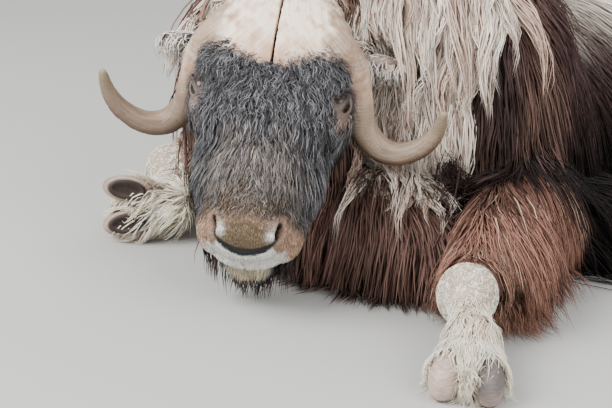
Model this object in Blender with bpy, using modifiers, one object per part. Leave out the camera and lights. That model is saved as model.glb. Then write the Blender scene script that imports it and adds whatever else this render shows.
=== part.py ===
"""A muskox bull at rest on the ground, life size, as a still model.

It lies on its chest with the head low in front, the left foreleg stretched
forward and the right one folded out to its side. Metres, +Z up; the animal
faces -Y, its left side is +X, and it rests on the floor at Z = 0.
"""

import math
import random

import bmesh
import bpy
from mathutils import Matrix, Quaternion, Vector
from mathutils.bvhtree import BVHTree

# Driving sizes of a grown bull
TRUNK_LENGTH = 1.45          # brisket to rump, along the spine
CHEST_AT = (0.03, 0.05)      # where the spine starts on the ground plan, at the brisket
SPINE_BEND = math.radians(22)  # how far the rump is turned to the animal's left
BEND_START = 0.35            # along the spine, where the bend begins
BEND_PACE = 1.25             # the bend is complete at 1 / this of the way from there to the rump
SPINE_STEP = 0.01            # length of the straight pieces that the spine is walked in
HUMP_TOP = 0.77              # top of the shoulder hump under the coat
BACK_TOP = 0.56              # top of the back behind the hump, under the coat
CHEST_HALF_WIDTH = 0.33
HEAD_AT = Vector((-0.08, 0.0, 0.355))  # midpoint between the eyes
HEAD_YAW = math.radians(21)  # turned to the animal's left
HEAD_PITCH = math.radians(42)  # nose below the level
HEAD_ROLL = math.radians(2.5)  # left side down
EYE_IN_HEAD = (0.124, 0.008, 0.024)  # the left eye's centre, in the head's frame
EYE_RADIUS = 0.021
AXIS_HEIGHT = 0.27           # of the trunk's middle over the floor
RUMP_AT = 0.98               # along the spine, where the rump is parted from the torso
NECK_PART = Vector((0, 0.20, 0.46))  # a point of the cut between neck and torso
NECK_PART_WAY = Vector((0, -1, 0.59)).normalized()  # across that cut, to the neck
GAP = 0.0004                 # air kept between two nodes
LOCK_CLEAR = 0.0015          # air kept between a lock and another node
SHARPEST = 3.0               # how many gaps a sharp corner may move when a cutter is grown
SETTLING_ROUNDS = 6          # passes over a corner's faces to find a move that clears them all
FLOOR_CLEAR = 0.004          # how high above the floor a lock stays at least
FLOOR_SPREAD = 0.008         # how much higher the lowest corners of some locks stay
RISE_MOST = 0.02             # a lock that would climb more than this at its next bend ends before it
COAT_SEED = 12

UP = Vector((0, 0, 1))
DOWN = Vector((0, 0, -1))

COLOURS = {
    "coat": ((0.045, 0.022, 0.014), 0.85),
    "mane": ((0.10, 0.055, 0.035), 0.85),
    "face": ((0.07, 0.055, 0.048), 0.8),
    "horn": ((0.46, 0.37, 0.27), 0.45),
    "eye": ((0.02, 0.012, 0.008), 0.08),
    "sock": ((0.62, 0.55, 0.45), 0.85),
    "hoof": ((0.30, 0.24, 0.19), 0.5),
}


# Small helpers for meshes

def start_empty():
    for obj in list(bpy.data.objects):
        bpy.data.objects.remove(obj)


def new_collection(name):
    made = bpy.data.collections.new(name)
    bpy.context.scene.collection.children.link(made)
    return made


def put(name, mesh, collection=None):
    """A mesh as an object in a collection, or in the scene's own."""
    obj = bpy.data.objects.new(name, mesh)
    (collection or bpy.context.scene.collection).objects.link(obj)
    return obj


def mesh_of(bm, name):
    mesh = bpy.data.meshes.new(name)
    bm.to_mesh(mesh)
    bm.free()
    return mesh


def bake(obj):
    """Applies an object's modifiers and place, so that its mesh holds all of it."""
    bpy.context.view_layer.update()
    graph = bpy.context.evaluated_depsgraph_get()
    mesh = bpy.data.meshes.new_from_object(obj.evaluated_get(graph))
    mesh.transform(obj.matrix_world)
    name = obj.name
    bpy.data.objects.remove(obj)
    return put(name, mesh)


def joined(name, objects):
    """Several meshes as one object, still separate shells."""
    bm = bmesh.new()
    for obj in objects:
        bm.from_mesh(obj.data)
        bpy.data.objects.remove(obj)
    return put(name, mesh_of(bm, name))


def ball(centre, radii, turn=None, rings=14):
    """An ellipsoid of flesh. turn is a rotation matrix for its axes."""
    bm = bmesh.new()
    bmesh.ops.create_uvsphere(bm, u_segments=rings * 2 - 4, v_segments=rings, radius=1)
    place = Matrix.Translation(Vector(centre))
    if turn is not None:
        place = place @ turn.to_4x4()
    bm.transform(place @ Matrix.Diagonal((*radii, 1)))
    return put("ball", mesh_of(bm, "ball"))


def tube(points, radii, sides=3, smooth=True):
    """A round tapering tube along points, closed at both ends."""
    curve = bpy.data.curves.new("tube", "CURVE")
    curve.dimensions = "3D"
    curve.bevel_depth = 1.0
    curve.bevel_resolution = sides
    curve.use_fill_caps = True
    curve.resolution_u = 4 if smooth else 1
    spline = curve.splines.new("NURBS" if smooth else "POLY")
    spline.points.add(len(points) - 1)
    for spot, point, radius in zip(spline.points, points, radii):
        spot.co = (*point, 1)
        spot.radius = radius
    if smooth:
        spline.order_u = 3
        spline.use_endpoint_u = True
    obj = bpy.data.objects.new("tube", curve)
    bpy.context.scene.collection.objects.link(obj)
    obj = bake(obj)
    bm = bmesh.new()
    bm.from_mesh(obj.data)
    bmesh.ops.remove_doubles(bm, verts=bm.verts, dist=1e-5)
    bmesh.ops.recalc_face_normals(bm, faces=bm.faces)
    bm.to_mesh(obj.data)
    bm.free()
    return obj


def fused(name, pieces, voxel, relax, faces):
    """Overlapping masses melted into one smooth closed skin of about that many faces."""
    obj = joined(name, pieces)
    remesh = obj.modifiers.new("melt", "REMESH")
    remesh.mode = "VOXEL"
    remesh.voxel_size = voxel
    soften = obj.modifiers.new("soften", "SMOOTH")
    soften.factor = 0.5
    soften.iterations = relax
    obj = bake(obj)
    count = sum(len(face.vertices) - 2 for face in obj.data.polygons)
    thin = obj.modifiers.new("thin", "DECIMATE")
    thin.ratio = min(1.0, faces / count)
    obj = bake(obj)
    return largest(obj)


def largest(obj):
    """Keeps the largest closed surface of a mesh and drops loose scraps."""
    bm = bmesh.new()
    bm.from_mesh(obj.data)
    bmesh.ops.triangulate(bm, faces=bm.faces)
    left = set(bm.faces)
    islands = []
    while left:
        stack = [left.pop()]
        island = list(stack)
        while stack:
            for edge in stack.pop().edges:
                for face in edge.link_faces:
                    if face in left:
                        left.remove(face)
                        stack.append(face)
                        island.append(face)
        islands.append(island)

    def size(island):
        return sum(f.verts[0].co.dot(f.verts[1].co.cross(f.verts[2].co)) for f in island)

    islands.sort(key=size)
    scraps = [face for island in islands[:-1] for face in island]
    bmesh.ops.delete(bm, geom=scraps, context="FACES")
    bm.to_mesh(obj.data)
    bm.free()
    return obj


def boolean(obj, other, operation, remove=True):
    """obj cut by, met with or joined to another closed mesh or a collection of them."""
    step = obj.modifiers.new(operation, "BOOLEAN")
    step.operation = operation
    step.solver = "MANIFOLD"
    if isinstance(other, bpy.types.Collection):
        step.operand_type = "COLLECTION"
        step.collection = other
        helpers = list(other.objects)
    else:
        step.object = other
        helpers = [other]
    obj = bake(obj)
    if remove:
        for helper in helpers:
            bpy.data.objects.remove(helper)
    return largest(obj)


def swollen(obj, by):
    """A copy of a node grown outwards a little on every face, to cut its neighbour clear of it."""
    bm = bmesh.new()
    bm.from_mesh(obj.data)
    bm.normal_update()
    moves = []
    for vertex in bm.verts:
        move = vertex.normal.copy()
        for _ in range(SETTLING_ROUNDS):
            for face in vertex.link_faces:
                move += face.normal * max(0.0, 1 - move.dot(face.normal))
        moves.append(move * by * min(1.0, SHARPEST / move.length))
    for vertex, move in zip(bm.verts, moves):
        vertex.co += move
    return put("swollen", mesh_of(bm, "swollen"))


def cut_clear(obj, *others):
    """obj with each neighbour, and a thin gap round it, taken out of it."""
    name = obj.name
    for other in others:
        obj = boolean(obj, swollen(other, GAP), "DIFFERENCE")
    obj.name = name
    return obj


def half_space(point, normal, size=3.0):
    """A large box that fills the side of a plane that normal points to."""
    bm = bmesh.new()
    bmesh.ops.create_cube(bm, size=size)
    turn = Vector(normal).to_track_quat("Z", "Y").to_matrix().to_4x4()
    bm.transform(Matrix.Translation(Vector(point)) @ turn @ Matrix.Translation((0, 0, size / 2)))
    return put("half_space", mesh_of(bm, "half_space"))


def parted(obj, point, normal, names):
    """One body parted in two by a thin plane cut: the side that normal points to comes first."""
    normal = Vector(normal).normalized()
    twin = put(names[1], obj.data.copy())
    obj.name = names[0]
    first = boolean(obj, half_space(Vector(point) + normal * GAP / 2, normal), "INTERSECT")
    second = boolean(twin, half_space(Vector(point) - normal * GAP / 2, -normal), "INTERSECT")
    first.name, second.name = names
    return first, second


def on_floor(obj, level=0.0):
    """Cuts off what lies below the floor, which leaves a flat to rest on."""
    name = obj.name
    obj = boolean(obj, half_space((0, 0, level), UP, 6.0), "INTERSECT")
    obj.name = name
    return obj


# The animal's own frames

def spine(along, side=0.0, height=0.0):
    """A point by its place along the bent spine, its place to the left, and its height."""
    x, y = CHEST_AT
    heading = walked = 0.0
    while walked < along:
        share = max(0.0, walked - BEND_START) / (TRUNK_LENGTH - BEND_START)
        heading = SPINE_BEND * min(1.0, share * BEND_PACE)
        x += math.sin(heading) * SPINE_STEP
        y += math.cos(heading) * SPINE_STEP
        walked += SPINE_STEP
    left = Vector((math.cos(heading), -math.sin(heading), 0))
    return Vector((x, y, 0)) + left * side + UP * height


def spine_turn(along):
    """The rotation of the trunk's axes at that place along the spine."""
    ahead = spine(along + 0.02) - spine(max(0.0, along - 0.02))
    return Matrix.Rotation(-math.atan2(ahead.x, ahead.y), 3, "Z")


HEAD = (
    Matrix.Translation(HEAD_AT)
    @ Matrix.Rotation(HEAD_YAW, 4, "Z")
    @ Matrix.Rotation(HEAD_PITCH, 4, "X")
    @ Matrix.Rotation(HEAD_ROLL, 4, "Y")
)
HEAD_TURN = HEAD.to_3x3()


def on_head(x, y, z):
    """A point in the head's own frame: x to its left, -y to the nose, z out of the forehead."""
    return HEAD @ Vector((x, y, z))


def head_way(x, y, z):
    """A direction of the head's own frame, in the world."""
    return (HEAD_TURN @ Vector((x, y, z))).normalized()


def head_ball(centre, radii):
    return ball(on_head(*centre), radii, HEAD_TURN)


def trunk_ball(along, side, height, radii):
    return ball(spine(along, side, height), radii, spine_turn(along))


# Flesh, with the coat's core, before the locks: each mass is an ellipsoid by its
# centre and half sizes

def trunk_masses():
    width = CHEST_HALF_WIDTH
    masses = [
        trunk_ball(0.16, 0, 0.095, (0.27, 0.16, 0.125)),
        trunk_ball(0.46, 0, 0.27, (width, 0.31, 0.30)),
        trunk_ball(0.43, 0, HUMP_TOP - 0.26, (0.21, 0.28, 0.26)),
        trunk_ball(0.80, 0, BACK_TOP - 0.31, (width, 0.44, 0.31)),
        trunk_ball(0.52, 0, 0.10, (width + 0.05, 0.44, 0.13)),
        trunk_ball(0.92, 0, 0.10, (width + 0.05, 0.46, 0.13)),
        trunk_ball(1.08, 0, BACK_TOP - 0.29, (0.28, 0.33, 0.27)),
        trunk_ball(1.25, 0, 0.24, (0.25, 0.20, 0.23)),
    ]
    for side in (-1, 1):
        masses.append(trunk_ball(0.35, side * 0.20, 0.34, (0.12, 0.17, 0.27)))
        masses.append(trunk_ball(1.12, side * 0.20, 0.19, (0.16, 0.27, 0.20)))
    return masses


def neck_masses():
    nape = on_head(0, 0.19, -0.02)
    shoulder = spine(0.30, 0, 0.52)
    throat = on_head(-0.01, 0.12, -0.15)
    masses = [
        ball(nape, (0.12, 0.12, 0.14)),
        ball(nape.lerp(shoulder, 0.5) + Vector((-0.02, 0.01, 0)), (0.14, 0.14, 0.20)),
        ball(shoulder, (0.20, 0.16, 0.22)),
        ball(throat.lerp(spine(0.10, 0, 0.18), 0.4), (0.12, 0.12, 0.16)),
    ]
    for side in (-1, 1):
        masses.append(ball(spine(0.30, side * 0.15, 0.38), (0.12, 0.12, 0.26)))
    return masses


def head_masses():
    """Skull, brow, nose, jaw and cheeks, in the head's own frame."""
    masses = [
        head_ball((0, 0.09, -0.015), (0.115, 0.16, 0.100)),
        head_ball((0, -0.01, 0.008), (0.122, 0.12, 0.088)),
        head_ball((0, -0.125, -0.012), (0.086, 0.14, 0.080)),
        head_ball((0, -0.212, -0.046), (0.088, 0.076, 0.078)),
        head_ball((0, -0.254, -0.040), (0.074, 0.038, 0.054)),
        head_ball((0, -0.246, -0.084), (0.070, 0.042, 0.038)),
        head_ball((0, -0.228, -0.122), (0.060, 0.056, 0.034)),
        head_ball((0, -0.10, -0.098), (0.072, 0.16, 0.062)),
        head_ball((0, 0.08, -0.12), (0.078, 0.13, 0.078)),
    ]
    for side in (-1, 1):
        masses.append(head_ball((side * 0.100, 0.006, -0.002), (0.047, 0.064, 0.052)))
        masses.append(head_ball((side * 0.080, 0.045, -0.080), (0.052, 0.105, 0.082)))
        masses.append(head_ball((side * 0.060, -0.222, -0.070), (0.038, 0.050, 0.040)))
        masses.append(head_ball((side * 0.070, -0.100, -0.045), (0.045, 0.110, 0.060)))
        masses.append(head_ball((side * 0.064, 0.044, 0.057), (0.066, 0.052, 0.040)))
    return masses


# Points of the horn's middle line in the head's frame, on its left side, each
# with the horn's radius there
HORN_LINE = (
    ((0.075, 0.105, 0.072), 0.041),
    ((0.106, 0.098, 0.060), 0.041),
    ((0.134, 0.084, 0.024), 0.036),
    ((0.152, 0.064, -0.030), 0.030),
    ((0.168, 0.036, -0.082), 0.027),
    ((0.202, 0.012, -0.110), 0.025),
    ((0.243, 0.000, -0.104), 0.022),
    ((0.284, 0.003, -0.074), 0.0185),
    ((0.306, 0.012, -0.036), 0.0145),
    ((0.314, 0.022, 0.010), 0.0085),
)
BOSS_GROOVE = 0.003          # half the groove between the two bosses


def horn(name, side):
    """A horn with its half of the boss, which meets the other half at a narrow groove."""
    points = [on_head(side * x, y, z) for (x, y, z), _ in HORN_LINE]
    radii = [radius for _, radius in HORN_LINE]
    masses = [
        tube(points, radii, sides=4),
        head_ball((side * 0.030, 0.118, 0.078), (0.085, 0.095, 0.040)),
        head_ball((side * 0.086, 0.104, 0.066), (0.050, 0.070, 0.038)),
        head_ball((side * 0.035, 0.160, 0.062), (0.080, 0.062, 0.040)),
    ]
    made = fused(name, masses, 0.007, 4, 400)
    made = boolean(made, half_space(on_head(side * BOSS_GROOVE, 0, 0), head_way(side, 0, 0)), "INTERSECT")
    made.name = name
    return made


def eye_centre(side):
    x, y, z = EYE_IN_HEAD
    return on_head(side * x, y, z)


def eye(name, side):
    bm = bmesh.new()
    bmesh.ops.create_uvsphere(bm, u_segments=10, v_segments=6, radius=EYE_RADIUS)
    bm.transform(Matrix.Translation(eye_centre(side)))
    return put(name, mesh_of(bm, name))


def lids(side):
    """The two lids, each a rounded fold round the front of the eyeball."""
    out = head_way(side * 0.86, -0.46, 0.20)
    along = head_way(side * -0.25, -0.95, -0.10)
    along = (along - out * along.dot(out)).normalized()
    lift = out.cross(along) * side
    made = []
    for rise_most in (0.50, -0.62):
        points = []
        for i in range(5):
            swing = math.radians(-80 + 40 * i)
            rise = rise_most * math.cos(swing)
            forward = math.cos(swing) * math.sqrt(1 - rise * rise)
            place = along * math.sin(swing) + lift * rise + out * forward
            points.append(eye_centre(side) + place.normalized() * (EYE_RADIUS + 0.001))
        made.append(tube(points, [0.007] * 5, sides=0, smooth=False))
    return made


def surface_line(tree, spots):
    """Points on a surface, each met from outside along its own direction."""
    return [shoot(tree, inner, outward, 0.4)[0] for inner, outward in spots]


def nostril(tree, side):
    """The comma-shaped pit of a nostril, on the nose's front corner."""
    line = ((0.068, 0.004), (0.059, -0.016), (0.042, -0.034), (0.020, -0.044))
    spots = [(on_head(side * x * 0.5, -0.20, z), head_way(side * x * 6, -1, 0)) for x, z in line]
    return tube(surface_line(tree, spots), [0.008, 0.012, 0.009, 0.004], sides=0, smooth=False)


def mouth_line(tree):
    """The closed mouth, a narrow groove round the front of the muzzle."""
    spots = []
    for i in range(7):
        around = math.radians(-78 + 26 * i)
        height = -0.098 + 0.012 * (1 - math.cos(around))
        spots.append((on_head(0, -0.18, height), head_way(math.sin(around), -math.cos(around), 0)))
    return tube(surface_line(tree, spots), [0.0045] * 7, sides=0, smooth=False)


def ear(name, side):
    """A short pointed ear with its cup open to the front, behind the horn."""
    out = head_way(side * 0.96, 0.02, 0.10)
    front = head_way(side * 0.10, -0.90, -0.3)
    front = (front - out * front.dot(out)).normalized()
    axes = Matrix((out, front, out.cross(front))).transposed()
    root = on_head(side * 0.10, 0.122, -0.012)
    shell = ball(root + out * 0.060, (0.072, 0.018, 0.032), axes, rings=8)
    scoop = ball(root + out * 0.078 + front * 0.015, (0.042, 0.012, 0.020), axes, rings=8)
    shell = boolean(shell, scoop, "DIFFERENCE")
    shell.name = name
    return shell


# The legs: joints from the elbow down, the way of the toes, and of the sole

FORE_LEFT = {
    "elbow": Vector((0.29, 0.34, 0.160)),
    "wrist": Vector((0.347, -0.022, 0.102)),
    "fetlock": Vector((0.400, -0.118, 0.062)),
    "toe": Vector((0.34, -0.94, 0.0)),
    "sole": Vector((0, 0, -1)),
}
FORE_RIGHT = {
    "elbow": Vector((-0.26, 0.47, 0.150)),
    "wrist": Vector((-0.462, 0.258, 0.098)),
    "fetlock": Vector((-0.378, 0.136, 0.068)),
    "toe": Vector((-0.86, -0.50, -0.06)),
    "sole": Vector((0.46, -0.84, 0.25)),
}
WRIST_RADIUS = 0.054
CANNON_RADIUS = 0.034
FETLOCK_RADIUS = 0.044
CLAW_LENGTH = 0.105
CLAW_WIDTH = 0.054
CLAW_HEIGHT = 0.066
CLAW_SPREAD = 0.034          # from the foot's midline to the middle of a claw
SOLE_DROP = 0.062            # from the fetlock down to the sole


def foot_axes(leg):
    """The foot's own axes: to its side, to the toe, and out of the top."""
    toe = leg["toe"].normalized()
    top = -leg["sole"]
    top = (top - toe * top.dot(toe)).normalized()
    return Matrix((toe.cross(top), toe, top)).transposed()


def foot(name, leg):
    """Wrist or hock, cannon, fetlock and pastern."""
    axes = foot_axes(leg)
    toe, top = axes.col[1], axes.col[2]
    wrist, knuckle = leg["wrist"], leg["fetlock"]
    masses = [
        ball(wrist, (WRIST_RADIUS, WRIST_RADIUS, WRIST_RADIUS * 1.04)),
        tube([wrist, wrist.lerp(knuckle, 0.55), knuckle], [WRIST_RADIUS * 0.8, CANNON_RADIUS, FETLOCK_RADIUS * 0.8]),
        ball(knuckle, (FETLOCK_RADIUS,) * 3),
        ball(knuckle + toe * 0.046 - top * 0.016, (0.054, 0.046, 0.036), axes),
    ]
    return on_floor(fused(name, masses, 0.009, 5, 230))


def claw(name, leg, side, neighbours):
    """One of the two hooves of a foot: rounded outside, flat on its sole."""
    axes = foot_axes(leg)
    across, toe, top = axes.col[0], axes.col[1], axes.col[2]
    splay = Matrix.Rotation(math.radians(-8 * side), 3, top) @ axes
    centre = leg["fetlock"] + toe * 0.082 - top * 0.032 + across * side * CLAW_SPREAD
    radii = (CLAW_WIDTH / 2, CLAW_LENGTH / 2, CLAW_HEIGHT * 0.6)
    body = ball(centre, radii, splay, rings=6)
    body = boolean(body, half_space(leg["fetlock"] - top * SOLE_DROP, top), "INTERSECT")
    body.name = name
    return cut_clear(on_floor(body), *neighbours)


# Locks of the coat

def smooth_share(t):
    return t * t * (3 - 2 * t)


def lock(path, normals, width, thickness, lowest):
    """A flat tapered lock: a low three-sided section along its path, closed to a point."""
    bm = bmesh.new()
    rings = []
    last = len(path) - 1
    for i, (point, normal) in enumerate(zip(path[:-1], normals)):
        ahead = (path[i + 1] - path[max(0, i - 1)]).normalized()
        across = ahead.cross(normal).normalized()
        out = across.cross(ahead)
        share = i / last
        spread = width * (0.62 + 0.38 * math.sin(math.pi * min(1.0, 0.2 + share))) * (1 - share ** 3)
        depth = thickness * (1 - 0.55 * share)
        ring = [
            point + across * spread / 2 - out * depth * 0.4,
            point + out * depth * 0.6,
            point - across * spread / 2 - out * depth * 0.4,
        ]
        for corner in ring:
            corner.z = max(corner.z, lowest)
        rings.append([bm.verts.new(corner) for corner in ring])
    tip = bm.verts.new(path[-1])
    bm.faces.new(rings[0])
    for lower, upper in zip(rings, rings[1:]):
        for j in range(3):
            bm.faces.new((lower[j], upper[j], upper[(j + 1) % 3], lower[(j + 1) % 3]))
    for j in range(3):
        bm.faces.new((rings[-1][j], tip, rings[-1][(j + 1) % 3]))
    bmesh.ops.triangulate(bm, faces=bm.faces)
    bmesh.ops.recalc_face_normals(bm, faces=bm.faces)
    return bm


def tree_of(*objects):
    """A search tree over the surfaces that locks lie on."""
    bm = bmesh.new()
    for obj in objects:
        bm.from_mesh(obj.data)
    tree = BVHTree.FromBMesh(bm)
    bm.free()
    return tree


def shoot(tree, inner, outward, reach=1.2):
    """The point of a surface that is met from outside, looking in along outward."""
    spot, normal, _, _ = tree.ray_cast(inner + outward * reach, -outward, reach)
    return spot, normal


def lock_path(ground, root, normal, lie, shape, sway, lowest):
    """Points of a lock from its sunk root along the coat's lie, over whatever flesh is under it."""
    length, _, thickness, lift, sag = shape
    steps = 4 if length > SHORT_LOCK else 3
    heading = lie(root, normal)
    sunk = root - normal * thickness - heading * thickness * 2
    path = [sunk, root + normal * thickness * 0.35]
    normals = [normal, normal]
    point = path[1].copy()
    for i in range(1, steps):
        share = i / (steps - 1)
        facing = normals[-1]
        heading = heading + DOWN * sag * share
        heading = Quaternion(facing, sway * share) @ heading
        heading = heading.normalized()
        point = point + heading * length / (steps - 1)
        spot, face, _, _ = ground.find_nearest(point)
        clear = (point - spot).dot(face)
        height = thickness * 0.45 + lift * smooth_share(share)
        if clear < height:
            point = spot + face * height
            facing = face
        else:
            facing = (normals[-1] + face * 0.5).normalized()
        low = lowest + thickness * (1 - 0.55 * share) * 0.6
        if point.z < low:
            point.z = low
            heading = Vector((heading.x + face.x, heading.y + face.y, 0)).normalized()
            facing = (facing + UP * 2).normalized()
        if point.z > path[-1].z + RISE_MOST and len(path) > 3:
            break
        path.append(point.copy())
        normals.append(facing)
    return path, normals


def lay_lock(ground, avoid, root, normal, lie, size, draw, collection):
    """Lays one lock, shortened or left out where it would cross another node."""
    length, width, thickness, lift, sag = size
    length *= draw.uniform(0.9, 1.1)
    width *= draw.uniform(0.94, 1.06)
    sway = draw.uniform(-0.1, 0.1)
    lowest = FLOOR_CLEAR + draw.uniform(0, FLOOR_SPREAD)
    for share in (1, 0.75, 0.5):
        shape = (length * share, width, thickness, lift * share, sag)
        path, normals = lock_path(ground, root, normal, lie, shape, sway, lowest)
        margin = lock(path, normals, width + 2 * LOCK_CLEAR, thickness + 2 * LOCK_CLEAR, lowest)
        crossing = BVHTree.FromBMesh(margin).overlap(avoid)
        margin.free()
        if not crossing:
            put("lock", mesh_of(lock(path, normals, width, thickness, lowest), "lock"), collection)
            return


def coated(body, locks):
    """The body with its locks joined to it as one closed mesh."""
    name = body.name
    body = boolean(body, locks, "UNION")
    bpy.data.collections.remove(locks)
    body.name = name
    return body


def trunk_lie(rearward):
    """Back hair runs to the rear and falls off to each side; side hair hangs."""
    def lie(point, normal):
        side = Vector((normal.x, normal.y, 0))
        flow = rearward * (0.45 + 0.6 * max(0.0, normal.z)) + DOWN * 0.9 + side * 0.5
        flow -= normal * flow.dot(normal)
        return flow.normalized()
    return lie


def hanging(drift):
    """Hair that hangs down the surface with a drift to one way."""
    def lie(point, normal):
        flow = DOWN + drift
        flow -= normal * flow.dot(normal)
        return flow.normalized()
    return lie


# Tiers of the side coat: height angle over the trunk's axis, then a lock's
# length, width, thickness, how far its tip stands off, and its sag
TRUNK_ROWS = (
    (80, (0.30, 0.160, 0.022, 0.040, 0.25)),
    (46, (0.36, 0.160, 0.022, 0.050, 0.35)),
    (14, (0.36, 0.160, 0.024, 0.062, 0.5)),
    (-14, (0.34, 0.160, 0.026, 0.076, 0.5)),
)
HEM_ROW = (-30, (0.22, 0.150, 0.026, 0.100, 0.3))  # on the torso only, which spreads on the floor
TRUNK_SPACING = 0.200
# Tiers of the mane: height angle over the neck's middle, then the same five
MANE_ROWS = (
    (74, 3, (0.30, 0.130, 0.022, 0.034, 0.4)),
    (46, 4, (0.28, 0.110, 0.022, 0.040, 0.5)),
    (10, 4, (0.26, 0.100, 0.022, 0.044, 0.6)),
)
SHORT_LOCK = 0.15            # a lock shorter than this has one bend fewer
BACK_FACING = 0.8            # no mane lock grows where the neck faces to the rear more than this
CUT_FACING = 0.95            # no lock grows on the cut between neck and torso
MANE_START = 28              # degrees to each side of the front where the mane starts
MANE_SWEEP = 80              # how many degrees it goes on from there
APRON_HEIGHTS = (1.5, 0.85, 0.3)  # of its tiers, as slopes seen from the brisket
APRON_COUNT = 8
APRON_SIZE = (0.24, 0.100, 0.024, 0.036, 0.6)
WOOL_SIZE = (0.36, 0.060, 0.022, 0.066, 0.8)
WOOL_COUNTS = ((-1, 3), (1, 5))  # the animal's side and its number of wool locks
FORELOCK_SIZE = (0.085, 0.044, 0.018, 0.012, 0.1)
FORELOCK_ROWS = ((0.026, 5), (-0.020, 5), (-0.066, 4), (-0.110, 3))  # y in the head's frame, number
FORELOCK_SPACING = 0.048
BEARD_SIZE = (0.13, 0.060, 0.018, 0.012, 1.2)
CHEEK_SIZE = (0.095, 0.056, 0.018, 0.018, 0.5)
CHEEK_SPOTS = ((-0.04, -0.02), (-0.09, 0.0), (-0.14, -0.03), (-0.06, -0.07), (-0.12, -0.07))  # y, z
ARM_SIZE = (0.16, 0.080, 0.020, 0.020, 0.8)
TAIL_SIZE = (0.17, 0.050, 0.016, 0.012, 0.6)


def trunk_locks(body, ground, avoid, start, end, rows, draw):
    """Tiers of overlapping locks along both sides of a stretch of the trunk."""
    own = tree_of(body)
    locks = new_collection("locks of " + body.name)
    rearward = spine_turn((start + end) / 2) @ Vector((0, 1, 0))
    count = max(2, round((end - start) / TRUNK_SPACING))
    for row, (angle, size) in enumerate(rows):
        for i in range(count):
            along = start + (i + 0.5 * (row % 2) + 0.25) * (end - start) / count
            along += draw.uniform(-0.01, 0.01)
            for side in (-1, 1):
                lean = math.radians(angle + draw.uniform(-3, 3))
                axis = spine(along, 0, AXIS_HEIGHT)
                out = spine_turn(along) @ Vector((side * math.cos(lean), 0, math.sin(lean)))
                spot, normal = shoot(own, axis, out)
                if spot is None or normal.dot(NECK_PART_WAY) > CUT_FACING:
                    continue
                lay_lock(ground, avoid, spot, normal, trunk_lie(rearward), size, draw, locks)
    return locks


def rump_end_locks(body, ground, avoid, locks, draw):
    """Tiers of locks round the rump's rear end."""
    own = tree_of(body)
    centre = spine(TRUNK_LENGTH - 0.22, 0, AXIS_HEIGHT - 0.02)
    turn = spine_turn(TRUNK_LENGTH)
    for row, (angle, size) in enumerate(TRUNK_ROWS[1:]):
        for i in range(3):
            around = math.radians(-48 + 44 * (i + 0.4 * (row % 2)) + draw.uniform(-4, 4))
            lean = math.radians(angle * 0.8)
            out = turn @ Vector((
                math.sin(around) * math.cos(lean),
                math.cos(around) * math.cos(lean),
                math.sin(lean),
            ))
            spot, normal = shoot(own, centre, out)
            if spot is not None:
                rearward = turn @ Vector((0, 1, 0))
                lay_lock(ground, avoid, spot, normal, trunk_lie(rearward), size, draw, locks)


def apron_locks(body, ground, avoid, locks, draw):
    """Tiers of hair down the brisket, which reach the floor between the forelegs."""
    own = tree_of(body)
    centre = spine(0.26, 0, 0.08)
    for row, height in enumerate(APRON_HEIGHTS):
        for i in range(APRON_COUNT):
            around = math.radians(-84 + 24 * (i + 0.5 * (row % 2)) + draw.uniform(-4, 4))
            out = Vector((math.sin(around), -math.cos(around), height)).normalized()
            spot, normal = shoot(own, centre, out)
            if spot is not None:
                lie = hanging(Vector((0, -0.6 + 0.2 * row, 0)))
                lay_lock(ground, avoid, spot, normal, lie, APRON_SIZE, draw, locks)


def neck_locks(body, ground, avoid, draw):
    """The mane: tiers that hang round the neck, and over them loose strands of shed wool."""
    own = tree_of(body)
    locks = new_collection("locks of " + body.name)
    centre = spine(0.20, 0, 0.38)
    for row, (angle, count, size) in enumerate(MANE_ROWS):
        for i in range(count):
            share = (i + 0.25 + 0.5 * (row % 2)) / count
            for side in (-1, 1):
                around = math.radians(MANE_START + MANE_SWEEP * share + draw.uniform(-3, 3)) * side
                lean = math.radians(angle + draw.uniform(-3, 3))
                out = Vector((
                    math.sin(around) * math.cos(lean),
                    -math.cos(around) * math.cos(lean),
                    math.sin(lean),
                ))
                spot, normal = shoot(own, centre, out)
                if spot is None or normal.y > BACK_FACING:
                    continue
                aside = Vector((side * 0.7 * math.sin(lean), 0.25, 0))
                lay_lock(ground, avoid, spot, normal, hanging(aside), size, draw, locks)
    for side, wool_count in WOOL_COUNTS:
        for i in range(wool_count):
            around = math.radians(34 + 62 * i / wool_count + draw.uniform(-4, 4)) * side
            lean = math.radians(52 - 20 * (i % 2))
            out = Vector((math.sin(around) * math.cos(lean), -math.cos(around) * math.cos(lean), math.sin(lean)))
            spot, normal = shoot(own, centre, out)
            if spot is not None:
                lay_lock(ground, avoid, spot, normal, hanging(Vector((0, 0.1, 0))), WOOL_SIZE, draw, locks)
    return locks


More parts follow.
